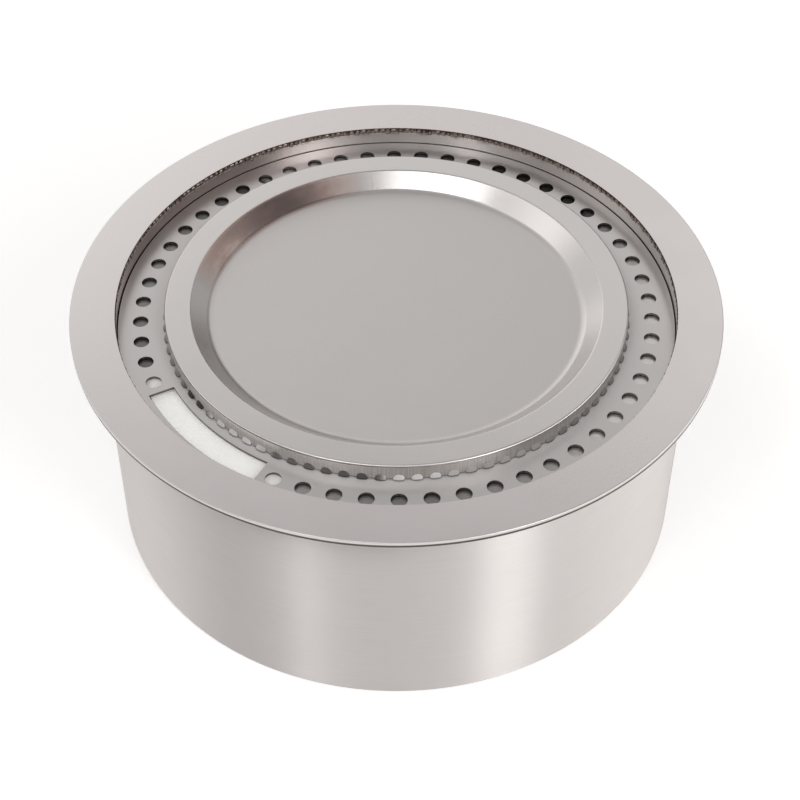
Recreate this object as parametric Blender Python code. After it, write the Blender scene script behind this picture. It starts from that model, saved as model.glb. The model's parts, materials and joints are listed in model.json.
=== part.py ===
"""Drop-in gas ring burner: a round steel drum with a wide top flange, a recessed perforated air plate,
a dished lift-off burner cap and the gas train underneath. Metres, +Z up, the ignition slot at the
front left, the gas inlet at the back. The origin is the centre of the base."""

import math

import bmesh
import bpy
from mathutils import Matrix, Vector

# Overall
TOP_Z = 0.1193
FIT_GAP = 0.0003
SHEET = 0.0012
RING_SEGMENTS = 72
QUARTER = math.pi / 2.0

# Drum and top flange
FLANGE_RADIUS = 0.150
FLANGE_OPENING_RADIUS = 0.1293
FLANGE_THICKNESS = 0.0028
DRUM_RADIUS = 0.1369
DRUM_LIP_RADIUS = 0.118

# Recess collar
COLLAR_LEDGE_RADIUS = 0.1240

# Air plate
PLATE_DEPTH = 0.0091
PLATE_RADIUS = 0.1290
PLATE_BORE_RADIUS = 0.0960
HOLE_PITCH_COUNT = 54
HOLE_CIRCLE_RADIUS = 0.1185
HOLE_RADIUS = 0.0036
SLOT_MIDDLE_PITCH = -7
SLOT_PITCHES_EACH_SIDE = 2
SLOT_HALF_ANGLE = math.radians(16.6)
SLOT_INNER_RADIUS = 0.1114
SLOT_OUTER_RADIUS = 0.1235

# Burner cap and its centring lugs
CAP_RADIUS = 0.1070
CAP_DROP = 0.0008
CAP_RIM_INNER_RADIUS = 0.0952
CAP_PANEL_RADIUS = 0.0868
CAP_PANEL_DEPTH = 0.0076
CAP_THICKNESS = 0.0015
CAP_EDGE_BEVEL = 0.0008
PORT_COUNT = 86
PORT_RADIUS = 0.0021
PORT_STRAIGHT = 0.0016
LUG_COUNT = 3
LUG_WIDTH = 0.010
LUG_INNER_RADIUS = 0.0942
LUG_OUTER_RADIUS = 0.1038
LUG_REACH_BELOW_PLATE = 0.0060
LUG_BEND = 0.0024

# Burner cup, mixing tube and air shutter
CUP_RADIUS = 0.1050
CUP_FLOOR_Z = 0.078
TUBE_RADIUS = 0.014
TUBE_WALL = 0.0015
TUBE_BOTTOM_Z = 0.030
TUBE_TOP_Z = 0.084
TUBE_COLLAR_RADIUS = 0.020
TUBE_COLLAR_HEIGHT = 0.0020
TUBE_FOOT_RADIUS = 0.0172
TUBE_FOOT_HEIGHT = 0.0035
TUBE_JET_HOLE_RADIUS = 0.0040
WINDOW_LOW_Z = 0.037
WINDOW_HIGH_Z = 0.048
WINDOW_COUNT = 4
WINDOW_WIDTH = 0.011
SHUTTER_LOW_Z = 0.0338
SHUTTER_HIGH_Z = 0.058
SHUTTER_SCREW_Z = 0.053
SHUTTER_SCREW_HOLE_RADIUS = 0.0019

# Gas train
GAS_AXIS_Z = 0.016
GAS_TUBE_RADIUS = 0.004
GAS_TUBE_WALL = 0.001
GAS_TUBE_START = 0.0055
GAS_TUBE_END = 0.1290
BULKHEAD_HOLE_RADIUS = 0.0065
ELBOW_HALF_WIDTH = 0.009
ELBOW_BACK = 0.014
ELBOW_BEVEL = 0.002
ELBOW_LOW_Z = 0.0045
ELBOW_HIGH_Z = 0.0240
JET_BORE_RADIUS = 0.0036
INLET_HEX_RADIUS = 0.0098

# Ignition tray, its ceramic board and rivets
TRAY_INNER_RADIUS = 0.1053
TRAY_OUTER_RADIUS = 0.1236
TRAY_HALF_ANGLE = math.radians(23.6)
TRAY_DEPTH = 0.013
TRAY_WALL = 0.001
BOARD_INNER_RADIUS = 0.1082
BOARD_HALF_ANGLE = math.radians(22.4)
BOARD_HEIGHT = 0.0105
RIVET_ANGLE_FROM_MIDDLE = 0.24
RIVET_DROP = 0.0065
RIVET_RADIUS = 0.0015
RIVET_HOLE_RADIUS = 0.0018

# Drip ring under the air holes
DRIP_DROP = 0.0004
DRIP_OUTER_RADIUS = 0.1222
DRIP_LEG = 0.0060
DRIP_SHEET = 0.001
DRIP_END_GAP = math.radians(0.6)

# Base plate and jet bracket
BASE_PLATE_RADIUS = 0.1335
VENT_COUNT = 6
VENT_CIRCLE_RADIUS = 0.088
VENT_RADIUS = 0.018
BRACKET_GRIP = 0.0093
BRACKET_HEIGHT_Z = 0.018
BRACKET_TIP = 0.0240
BRACKET_WIDTH = 0.014
BRACKET_SCREW_X = 0.0175

# Screws and nuts
BASE_SCREW_CIRCLE = 0.126
PLATE_SCREW_CIRCLE = 0.0995
SCREW_RADIUS = 0.0020
SCREW_HOLE_RADIUS = 0.0023
SCREW_HEAD_RADIUS = 0.0038
SCREW_HEAD_HEIGHT = 0.0026
NUT_RADIUS = 0.0040
NUT_HEIGHT = 0.0028
HOLE_SIDES = 8
DRILL_DEPTH = 0.008

FLANGE_Z = TOP_Z - FLANGE_THICKNESS
DRUM_TOP_Z = FLANGE_Z
PLATE_Z = TOP_Z - PLATE_DEPTH
CAP_TOP_Z = TOP_Z - CAP_DROP
LEDGE_Z = PLATE_Z - SHEET - FIT_GAP
BASE_TOP_Z = 2.0 * SHEET + FIT_GAP
SLOT_ANGLE = 2.0 * math.pi * SLOT_MIDDLE_PITCH / HOLE_PITCH_COUNT
UP = Vector((0.0, 0.0, 1.0))


def clear_scene():
    for old in list(bpy.data.objects):
        bpy.data.objects.remove(old, do_unlink=True)


def material(name, color, metallic, roughness):
    found = bpy.data.materials.new(name)
    found.use_nodes = True
    shader = found.node_tree.nodes["Principled BSDF"]
    shader.inputs["Base Color"].default_value = (*color, 1.0)
    shader.inputs["Metallic"].default_value = metallic
    shader.inputs["Roughness"].default_value = roughness
    found.diffuse_color = (*color, 1.0)
    return found


def place(name, bm, mat=None, smooth=True, parent=None):
    """Makes an object of the bmesh, facing out. Without a material it is a cutter."""
    bmesh.ops.recalc_face_normals(bm, faces=bm.faces)
    mesh = bpy.data.meshes.new(name)
    bm.to_mesh(mesh)
    bm.free()
    obj = bpy.data.objects.new(name, mesh)
    bpy.context.scene.collection.objects.link(obj)
    obj.parent = parent
    if mat is None:
        obj.hide_render = True
        obj.display_type = "WIRE"
        return obj
    mesh.materials.append(mat)
    if smooth:
        mesh.polygons.foreach_set("use_smooth", [True] * len(mesh.polygons))
        mesh.set_sharp_from_angle(angle=math.radians(32.0))
    return obj


def place_copies(prefix, bm, mat, matrices, smooth=True, parent=None):
    """Numbered objects that share one mesh, each at its own matrix."""
    first = place(f"{prefix}_1", bm, mat, smooth, parent)
    first.matrix_world = matrices[0]
    for number, matrix in enumerate(matrices[1:], 2):
        other = bpy.data.objects.new(f"{prefix}_{number}", first.data)
        bpy.context.scene.collection.objects.link(other)
        other.parent = parent
        other.matrix_world = matrix


def cut(obj, cutter):
    change = obj.modifiers.new("Cut " + cutter.name, "BOOLEAN")
    change.operation = "DIFFERENCE"
    change.solver = "EXACT"
    change.object = cutter


def around(radius, angle, z=0.0):
    """A point at this angle from the front, turning towards the right."""
    return Vector((radius * math.sin(angle), -radius * math.cos(angle), z))


def turns(count, first=0.0):
    """Evenly spaced angles once round."""
    return [first + 2.0 * math.pi * i / count for i in range(count)]


def hexagon_share(angle):
    """How far a hexagon's edge is from its centre at this angle, as a share of its corner radius."""
    sixth = math.pi / 3.0
    return math.cos(sixth / 2.0) / math.cos(angle % sixth - sixth / 2.0)


def add_ring(bm, profile, segments=RING_SEGMENTS, hexes=()):
    """Turns a closed profile of (radius, z) clear of the axis. The listed points run round a hexagon."""
    loops = []
    for angle in turns(segments):
        loop = []
        for j, (radius, z) in enumerate(profile):
            share = hexagon_share(angle) if j in hexes else 1.0
            loop.append(bm.verts.new(around(radius * share, angle, z)))
        loops.append(loop)
    count = len(profile)
    for i in range(segments):
        here, after = loops[i], loops[(i + 1) % segments]
        for j in range(count):
            k = (j + 1) % count
            bm.faces.new((here[j], after[j], after[k], here[k]))


def add_arc(bm, profile, start, end, steps):
    """Turns a closed profile of (radius, z) part of the way round, with flat ends."""
    loops = []
    for i in range(steps + 1):
        angle = start + (end - start) * i / steps
        loops.append([bm.verts.new(around(radius, angle, z)) for radius, z in profile])
    for here, after in zip(loops, loops[1:]):
        for j in range(len(profile)):
            k = (j + 1) % len(profile)
            bm.faces.new((here[j], after[j], after[k], here[k]))
    bm.faces.new(loops[0])
    bm.faces.new(loops[-1])


def add_turned(bm, profile, segments, start=0.0):
    """Turns an open profile of (radius, z) whose two ends lie on the axis."""
    low = bm.verts.new((0.0, 0.0, profile[0][1]))
    high = bm.verts.new((0.0, 0.0, profile[-1][1]))
    loops = []
    for angle in turns(segments, start):
        loops.append([bm.verts.new(around(radius, angle, z)) for radius, z in profile[1:-1]])
    for i in range(segments):
        here, after = loops[i], loops[(i + 1) % segments]
        bm.faces.new((low, here[0], after[0]))
        bm.faces.new((high, after[-1], here[-1]))
        for j in range(len(here) - 1):
            bm.faces.new((here[j], here[j + 1], after[j + 1], after[j]))


def add_prism(bm, outline, offset):
    """Extrudes a closed outline of points along the offset."""
    low = [bm.verts.new(point) for point in outline]
    high = [bm.verts.new(point + offset) for point in outline]
    bm.faces.new(low)
    bm.faces.new(high)
    for i in range(len(outline)):
        j = (i + 1) % len(outline)
        bm.faces.new((low[i], low[j], high[j], high[i]))


def add_cylinder(bm, foot, axis, radius, sides=12):
    """A cylinder from foot along the whole length of axis."""
    side = axis.orthogonal().normalized()
    other = axis.normalized().cross(side)
    outline = [foot + radius * (math.cos(turn) * side + math.sin(turn) * other) for turn in turns(sides, 0.3)]
    add_prism(bm, outline, axis)


def arc_outline(inner, outer, middle, half_angle, z, steps=12):
    """A band between two radii, as one closed outline."""
    angles = [middle - half_angle + 2.0 * half_angle * i / steps for i in range(steps + 1)]
    return [around(outer, a, z) for a in angles] + [around(inner, a, z) for a in reversed(angles)]


def along(direction, foot):
    """The matrix that sends +Z to the direction, with its origin at the foot."""
    return Matrix.Translation(foot) @ direction.to_track_quat("Z", "Y").to_matrix().to_4x4()


def ring(name, profile, mat, segments=RING_SEGMENTS, parent=None):
    bm = bmesh.new()
    add_ring(bm, profile, segments)
    return place(name, bm, mat, parent=parent)


def drill(obj, name, feet, axis, radius, sides=HOLE_SIDES):
    """Cuts a straight hole from each foot along the axis."""
    bm = bmesh.new()
    for foot in feet:
        add_cylinder(bm, foot, axis, radius, sides)
    cut(obj, place(name, bm))


def punch(obj, name, circle, angles, face_z, radius, sides=HOLE_SIDES):
    """Cuts vertical holes on a circle, through the sheet whose face is at this height."""
    feet = [around(circle, angle, face_z - DRILL_DEPTH / 2.0) for angle in angles]
    drill(obj, name, feet, DRILL_DEPTH * UP, radius, sides)


def screws(prefix, shank, mat, feet, parent):
    """Pan-head screws whose heads sit on these points."""
    bm = bmesh.new()
    profile = [
        (0.0, -shank),
        (SCREW_RADIUS, -shank),
        (SCREW_RADIUS, 0.0),
        (SCREW_HEAD_RADIUS, 0.0),
        (SCREW_HEAD_RADIUS, 0.55 * SCREW_HEAD_HEIGHT),
        (0.6 * SCREW_HEAD_RADIUS, SCREW_HEAD_HEIGHT),
        (0.0, SCREW_HEAD_HEIGHT),
    ]
    add_turned(bm, profile, HOLE_SIDES)
    place_copies(prefix, bm, mat, [Matrix.Translation(foot) for foot in feet], parent=parent)


def corner_turns():
    """The four directions halfway between the front, the sides and the back."""
    return turns(4, QUARTER / 2.0)


def build_drum():
    drum = ring(
        "outer_drum",
        [
            (DRUM_RADIUS, DRUM_TOP_Z),
            (DRUM_RADIUS, 0.0),
            (DRUM_LIP_RADIUS, 0.0),
            (DRUM_LIP_RADIUS, SHEET),
            (DRUM_RADIUS - SHEET, SHEET),
            (DRUM_RADIUS - SHEET, DRUM_TOP_Z),
        ],
        material("brushed drum steel", (0.60, 0.59, 0.57), 1.0, 0.32),
    )
    inlet = Vector((0.0, DRUM_RADIUS - 0.010, GAS_AXIS_Z))
    drill(drum, "inlet hole cutter", [inlet], Vector((0.0, 0.020, 0.0)), BULKHEAD_HOLE_RADIUS, 12)
    punch(drum, "lip hole cutter", BASE_SCREW_CIRCLE, corner_turns(), SHEET, SCREW_HOLE_RADIUS)
    return drum


def build_flange(drum):
    """The flat top ring. A shallow step in its underside leaves room for the tops of drum and collar."""
    step_radius, step_z = DRUM_RADIUS + FIT_GAP, FLANGE_Z + FIT_GAP
    ring(
        "top_flange",
        [
            (FLANGE_RADIUS, TOP_Z),
            (FLANGE_RADIUS, FLANGE_Z),
            (step_radius, FLANGE_Z),
            (step_radius, step_z),
            (FLANGE_OPENING_RADIUS, step_z),
            (FLANGE_OPENING_RADIUS, TOP_Z),
        ],
        material("satin flange steel", (0.66, 0.64, 0.63), 1.0, 0.40),
        parent=drum,
    )
    inner = FLANGE_OPENING_RADIUS
    ring(
        "recess_collar",
        [
            (inner + SHEET, DRUM_TOP_Z),
            (inner + SHEET, LEDGE_Z - SHEET),
            (COLLAR_LEDGE_RADIUS, LEDGE_Z - SHEET),
            (COLLAR_LEDGE_RADIUS, LEDGE_Z),
            (inner, LEDGE_Z),
            (inner, DRUM_TOP_Z),
        ],
        material("bright collar steel", (0.58, 0.56, 0.54), 1.0, 0.22),
        parent=drum,
    )


def build_air_plate(drum):
    plate = ring(
        "air_plate",
        [
            (PLATE_RADIUS, PLATE_Z),
            (PLATE_RADIUS, PLATE_Z - SHEET),
            (PLATE_BORE_RADIUS, PLATE_Z - SHEET),
            (PLATE_BORE_RADIUS, PLATE_Z),
        ],
        material("polished plate steel", (0.62, 0.60, 0.59), 1.0, 0.24),
        parent=drum,
    )
    slot_pitches = {
        (SLOT_MIDDLE_PITCH + step) % HOLE_PITCH_COUNT
        for step in range(-SLOT_PITCHES_EACH_SIDE, SLOT_PITCHES_EACH_SIDE + 1)
    }
    angles = [angle for i, angle in enumerate(turns(HOLE_PITCH_COUNT)) if i not in slot_pitches]
    punch(plate, "air hole cutter", HOLE_CIRCLE_RADIUS, angles, PLATE_Z, HOLE_RADIUS)
    punch(plate, "plate screw hole cutter", PLATE_SCREW_CIRCLE, corner_turns(), PLATE_Z, SCREW_HOLE_RADIUS)
    slot = bmesh.new()
    low = PLATE_Z - DRILL_DEPTH / 2.0
    outline = arc_outline(SLOT_INNER_RADIUS, SLOT_OUTER_RADIUS, SLOT_ANGLE, SLOT_HALF_ANGLE, low, 8)
    add_prism(slot, outline, DRILL_DEPTH * UP)
    cut(plate, place("slot cutter", slot))
    return plate


def build_cap():
    panel_z = CAP_TOP_Z - CAP_PANEL_DEPTH
    foot_z = PLATE_Z + FIT_GAP
    inner = CAP_RADIUS - CAP_THICKNESS
    under_z = CAP_TOP_Z - CAP_THICKNESS
    slope_shift = 0.4 * CAP_THICKNESS
    dish = bmesh.new()
    profile = [
        (0.0, panel_z - CAP_THICKNESS),
        (CAP_PANEL_RADIUS + slope_shift, panel_z - CAP_THICKNESS),
        (CAP_RIM_INNER_RADIUS + slope_shift, under_z),
        (inner, under_z),
        (inner, foot_z),
        (CAP_RADIUS, foot_z),
        (CAP_RADIUS, CAP_TOP_Z - CAP_EDGE_BEVEL),
        (CAP_RADIUS - CAP_EDGE_BEVEL, CAP_TOP_Z),
        (CAP_RIM_INNER_RADIUS, CAP_TOP_Z),
        (CAP_PANEL_RADIUS, panel_z),
        (0.0, panel_z),
    ]
    add_turned(dish, profile, PORT_COUNT, start=math.pi / PORT_COUNT)
    cap = place("burner_cap", dish, material("burner cap steel", (0.64, 0.61, 0.60), 1.0, 0.34))
    cut(cap, port_cutter(inner - 0.002, foot_z))
    build_cap_lugs(cap, under_z - 2.0 * FIT_GAP)


def port_cutter(inner, foot_z):
    """Round-topped notches up from the skirt's foot, cut from inside it outwards."""
    ports = bmesh.new()
    below = -0.001 * UP
    for angle in turns(PORT_COUNT):
        outward = around(1.0, angle)
        side = outward.cross(UP)
        foot = outward * inner + foot_z * UP
        top = foot + PORT_STRAIGHT * UP
        arch = [top + PORT_RADIUS * (math.cos(turn) * side + math.sin(turn) * UP) for turn in half_circle()]
        outline = [foot + below + PORT_RADIUS * side] + arch + [foot + below - PORT_RADIUS * side]
        add_prism(ports, outline, 0.006 * outward)
    return place("port cutter", ports)


def half_circle(steps=3):
    return [math.pi * i / steps for i in range(steps + 1)]


def build_cap_lugs(cap, high):
    """Bent tabs under the cap's rim that reach down inside the plate's bore."""
    low = PLATE_Z - LUG_REACH_BELOW_PLATE
    outline = [
        (LUG_INNER_RADIUS, low),
        (LUG_INNER_RADIUS + SHEET, low),
        (LUG_INNER_RADIUS + SHEET, high - LUG_BEND - 0.4 * SHEET),
        (LUG_INNER_RADIUS + LUG_BEND + 0.4 * SHEET, high - SHEET),
        (LUG_OUTER_RADIUS, high - SHEET),
        (LUG_OUTER_RADIUS, high),
        (LUG_INNER_RADIUS + LUG_BEND, high),
        (LUG_INNER_RADIUS, high - LUG_BEND),
    ]
    lug = bmesh.new()
    add_prism(lug, [Vector((-LUG_WIDTH / 2.0, -r, z)) for r, z in outline], Vector((LUG_WIDTH, 0.0, 0.0)))
    spots = [Matrix.Rotation(angle, 4, "Z") for angle in turns(LUG_COUNT)]
    place_copies("cap_lug", lug, material("cap lug steel", (0.55, 0.54, 0.53), 1.0, 0.45), spots, False, cap)


def rivet_places(radius):
    """Points on the joint between cup and tray, one each side of the slot's middle."""
    angles = [SLOT_ANGLE - RIVET_ANGLE_FROM_MIDDLE, SLOT_ANGLE + RIVET_ANGLE_FROM_MIDDLE]
    return [around(radius, angle, LEDGE_Z - RIVET_DROP) for angle in angles]


def drill_rivet_holes(obj, name, radius):
    bm = bmesh.new()
    for foot in rivet_places(radius):
        outward = Vector((foot.x, foot.y, 0.0)).normalized()
        add_cylinder(bm, foot, 0.008 * outward, RIVET_HOLE_RADIUS, HOLE_SIDES)
    cut(obj, place(name, bm))


def build_cup(plate):
    wall = CUP_RADIUS - SHEET
    cup = ring(
        "burner_cup",
        [
            (PLATE_BORE_RADIUS, LEDGE_Z),
            (CUP_RADIUS, LEDGE_Z),
            (CUP_RADIUS, CUP_FLOOR_Z),
            (TUBE_RADIUS + FIT_GAP, CUP_FLOOR_Z),
            (TUBE_RADIUS + FIT_GAP, CUP_FLOOR_Z + SHEET),
            (wall, CUP_FLOOR_Z + SHEET),
            (wall, LEDGE_Z - SHEET),
            (PLATE_BORE_RADIUS, LEDGE_Z - SHEET),
        ],
        material("burner cup steel", (0.50, 0.48, 0.46), 1.0, 0.38),
        parent=plate,
    )
    punch(cup, "cup flange hole cutter", PLATE_SCREW_CIRCLE, corner_turns(), LEDGE_Z, SCREW_HOLE_RADIUS)
    drill_rivet_holes(cup, "cup rivet hole cutter", wall - 0.003)

    feet = [around(PLATE_SCREW_CIRCLE, angle, PLATE_Z + FIT_GAP) for angle in corner_turns()]
    screws("plate_screw", 0.0072, material("plate screw steel", (0.56, 0.55, 0.54), 1.0, 0.30), feet, plate)
    nut = bmesh.new()
    outer, bore = NUT_RADIUS, SCREW_HOLE_RADIUS
    add_ring(nut, [(outer, 0.0), (outer, NUT_HEIGHT), (bore, NUT_HEIGHT), (bore, 0.0)], 12, hexes=(0, 1))
    low = LEDGE_Z - SHEET - FIT_GAP - NUT_HEIGHT
    spots = [Matrix.Translation(around(PLATE_SCREW_CIRCLE, angle, low)) for angle in corner_turns()]
    nut_steel = material("plate nut steel", (0.48, 0.47, 0.45), 1.0, 0.36)
    place_copies("plate_nut", nut, nut_steel, spots, False, plate)
    return cup


def build_tray(cup):
    """The open tray under the slot, riveted to the cup."""
    low, depth = LEDGE_Z - TRAY_DEPTH, TRAY_DEPTH * UP
    body = bmesh.new()
    outline = arc_outline(TRAY_INNER_RADIUS, TRAY_OUTER_RADIUS, SLOT_ANGLE, TRAY_HALF_ANGLE, low)
    add_prism(body, outline, depth)
    tray_steel = material("ignition tray steel", (0.55, 0.53, 0.51), 1.0, 0.36)
    tray = place("ignition_tray", body, tray_steel, parent=cup)
    hollow = bmesh.new()
    inner, outer = TRAY_INNER_RADIUS + TRAY_WALL, TRAY_OUTER_RADIUS - TRAY_WALL
    half_angle = TRAY_HALF_ANGLE - TRAY_WALL / TRAY_INNER_RADIUS
    add_prism(hollow, arc_outline(inner, outer, SLOT_ANGLE, half_angle, low + TRAY_WALL), depth)
    cut(tray, place("tray hollow cutter", hollow))
    drill_rivet_holes(tray, "tray rivet hole cutter", TRAY_INNER_RADIUS - 0.003)

    board = bmesh.new()
    foot = low + TRAY_WALL + FIT_GAP
    add_prism(
        board,
        arc_outline(BOARD_INNER_RADIUS, outer - FIT_GAP, SLOT_ANGLE, BOARD_HALF_ANGLE, foot),
        BOARD_HEIGHT * UP,
    )
    place("ceramic_board", board, material("ceramic fibre board", (0.85, 0.84, 0.81), 0.0, 0.95), parent=tray)

    grip = TRAY_WALL + FIT_GAP
    back = CUP_RADIUS - SHEET - FIT_GAP - TRAY_INNER_RADIUS
    rivet = bmesh.new()
    profile = [
        (0.0, back - 0.0012),
        (1.5 * RIVET_RADIUS, back - 0.0012),
        (2.0 * RIVET_RADIUS, back),
        (RIVET_RADIUS, back),
        (RIVET_RADIUS, grip),
        (1.9 * RIVET_RADIUS, grip),
        (1.3 * RIVET_RADIUS, grip + 0.0010),
        (0.0, grip + 0.0010),
    ]
    add_turned(rivet, profile, HOLE_SIDES)
    spots = [along(Vector((foot.x, foot.y, 0.0)), foot) for foot in rivet_places(TRAY_INNER_RADIUS)]
    rivet_steel = material("rivet steel", (0.52, 0.51, 0.50), 1.0, 0.34)
    place_copies("tray_rivet", rivet, rivet_steel, spots, parent=tray)


def build_drip_ring(cup):
    """An angle-section ring under the air holes, open at the tray, that keeps drips off the gas parts."""
    inner, outer = CUP_RADIUS + FIT_GAP, DRIP_OUTER_RADIUS
    high = PLATE_Z - SHEET - DRIP_DROP
    profile = [
        (inner, high),
        (outer, high),
        (outer, high - DRIP_SHEET),
        (inner + DRIP_SHEET, high - DRIP_SHEET),
        (inner + DRIP_SHEET, high - DRIP_LEG),
        (inner, high - DRIP_LEG),
    ]
    end = TRAY_HALF_ANGLE + DRIP_END_GAP
    body = bmesh.new()
    add_arc(body, profile, SLOT_ANGLE + end, SLOT_ANGLE + 2.0 * math.pi - end, RING_SEGMENTS)
    place("drip_ring", body, material("drip ring steel", (0.60, 0.59, 0.58), 1.0, 0.40), parent=cup)


def window_cutter(name):
    """Upright air windows facing the front, the sides and the back, cut from inside the tube outwards."""
    bm = bmesh.new()
    for angle in turns(WINDOW_COUNT):
        outward = around(1.0, angle)
        side = outward.cross(UP) * 0.5 * WINDOW_WIDTH
        low = 0.0095 * outward + WINDOW_LOW_Z * UP
        high = 0.0095 * outward + WINDOW_HIGH_Z * UP
        add_prism(bm, [low - side, low + side, high + side, high - side], 0.0105 * outward)
    return place(name, bm)


def build_mixing_tube(cup):
    bore, floor = TUBE_RADIUS - TUBE_WALL, CUP_FLOOR_Z - FIT_GAP
    foot_top = TUBE_BOTTOM_Z + TUBE_FOOT_HEIGHT
    tube = ring(
        "mixing_tube",
        [
            (TUBE_RADIUS, TUBE_TOP_Z),
            (TUBE_RADIUS, floor),
            (TUBE_COLLAR_RADIUS, floor),
            (TUBE_COLLAR_RADIUS, floor - TUBE_COLLAR_HEIGHT),
            (TUBE_RADIUS, floor - TUBE_COLLAR_HEIGHT),
            (TUBE_RADIUS, foot_top),
            (TUBE_FOOT_RADIUS, foot_top),
            (TUBE_FOOT_RADIUS, TUBE_BOTTOM_Z),
            (TUBE_JET_HOLE_RADIUS, TUBE_BOTTOM_Z),
            (TUBE_JET_HOLE_RADIUS, TUBE_BOTTOM_Z + TUBE_WALL),
            (bore, TUBE_BOTTOM_Z + TUBE_WALL),
            (bore, TUBE_TOP_Z),
        ],
        material("mixing tube steel", (0.46, 0.45, 0.43), 1.0, 0.42),
        24,
        parent=cup,
    )
    cut(tube, window_cutter("tube window cutter"))


def build_shutter():
    """The sleeve that turns on the mixing tube to open and close its windows, with its thumbscrew."""
    inner = TUBE_RADIUS + FIT_GAP
    outer = inner + SHEET
    shutter = ring(
        "air_shutter",
        [(outer, SHUTTER_HIGH_Z), (outer, SHUTTER_LOW_Z), (inner, SHUTTER_LOW_Z), (inner, SHUTTER_HIGH_Z)],
        material("air shutter steel", (0.60, 0.58, 0.56), 1.0, 0.30),
        24,
    )
    cut(shutter, window_cutter("shutter window cutter"))
    foot = SHUTTER_SCREW_Z * UP
    start = foot + around(0.010, 0.0)
    drill(shutter, "shutter screw hole cutter", [start], around(0.012, 0.0), SHUTTER_SCREW_HOLE_RADIUS, 10)
    seat = outer + FIT_GAP
    profile = [
        (0.0, inner),
        (0.0015, inner),
        (0.0015, seat),
        (0.0030, seat),
        (0.0030, seat + 0.0017),
        (0.0048, seat + 0.0023),
        (0.0048, seat + 0.0063),
        (0.0042, seat + 0.0069),
        (0.0, seat + 0.0069),
    ]
    screw = bmesh.new()
    add_turned(screw, profile, 10)
    brass = material("thumbscrew brass", (0.72, 0.55, 0.26), 1.0, 0.34)
    thumbscrew = place("shutter_screw", screw, brass, parent=shutter)
    thumbscrew.matrix_world = along(around(1.0, 0.0), foot)


def build_jet():
    """The brass elbow that turns the gas upwards, and the jet screwed into its top."""
    half, bevel = ELBOW_HALF_WIDTH, ELBOW_BEVEL
    corners = (
        (-half, -half + bevel),
        (-half + bevel, -half),
        (half - bevel, -half),
        (half, -half + bevel),
        (half, ELBOW_BACK),
        (-half, ELBOW_BACK),
    )
    block = bmesh.new()
    add_prism(block, [Vector((x, y, ELBOW_LOW_Z)) for x, y in corners], (ELBOW_HIGH_Z - ELBOW_LOW_Z) * UP)
    elbow = place("jet_elbow", block, material("elbow brass", (0.70, 0.52, 0.24), 1.0, 0.38), smooth=False)
    centre = GAS_AXIS_Z * UP
    drill(elbow, "inlet bore cutter", [centre], Vector((0.0, 0.020, 0.0)), GAS_TUBE_RADIUS + FIT_GAP, 16)
    drill(elbow, "gas bore cutter", [centre - 0.001 * UP], 0.013 * UP, JET_BORE_RADIUS, 16)
    profile = [
        (0.0008, 0.0205),
        (0.0033, 0.0205),
        (0.0033, ELBOW_HIGH_Z + FIT_GAP),
        (0.0056, ELBOW_HIGH_Z + FIT_GAP),
        (0.0056, 0.0285),
        (0.0032, 0.0285),
        (0.0032, 0.0330),
        (0.0017, 0.0362),
        (0.0008, 0.0362),
    ]
    jet = bmesh.new()
    add_ring(jet, profile, 12, hexes=(3, 4))
    place("gas_jet", jet, material("jet brass", (0.76, 0.58, 0.28), 1.0, 0.28), parent=elbow)
    return elbow


def build_gas_inlet(elbow):
    """The supply tube from the elbow to the back, with the inlet fitting and its lock nut on the drum."""
    to_back = along(Vector((0.0, 1.0, 0.0)), GAS_AXIS_Z * UP)
    outer, inner = GAS_TUBE_RADIUS, GAS_TUBE_RADIUS - GAS_TUBE_WALL
    profile = [(outer, GAS_TUBE_START), (outer, GAS_TUBE_END), (inner, GAS_TUBE_END), (inner, GAS_TUBE_START)]
    copper = material("supply tube copper", (0.72, 0.42, 0.28), 1.0, 0.30)
    tube = ring("supply_tube", profile, copper, 16, elbow)
    tube.matrix_world = to_back

    clear = GAS_TUBE_RADIUS + FIT_GAP
    seat = DRUM_RADIUS + 0.0004
    profile = [
        (clear, 0.1215),
        (0.0060, 0.1215),
        (0.0060, seat),
        (INLET_HEX_RADIUS, seat),
        (INLET_HEX_RADIUS, 0.1418),
        (0.0062, 0.1418),
        (0.0062, 0.1470),
        (0.0054, 0.1485),
        (0.0030, 0.1485),
        (0.0030, 0.1300),
        (clear, 0.1300),
    ]
    fitting = bmesh.new()
    add_ring(fitting, profile, 24, hexes=(3, 4))
    brass = material("inlet brass", (0.74, 0.57, 0.28), 1.0, 0.30)
    place("inlet_fitting", fitting, brass, parent=elbow).matrix_world = to_back
    nut = bmesh.new()
    profile = [(INLET_HEX_RADIUS, 0.1302), (INLET_HEX_RADIUS, 0.1346), (0.0063, 0.1346), (0.0063, 0.1302)]
    add_ring(nut, profile, 24, hexes=(0, 1))
    brass = material("lock nut brass", (0.66, 0.50, 0.24), 1.0, 0.36)
    place("inlet_nut", nut, brass, False, elbow).matrix_world = to_back


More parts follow.
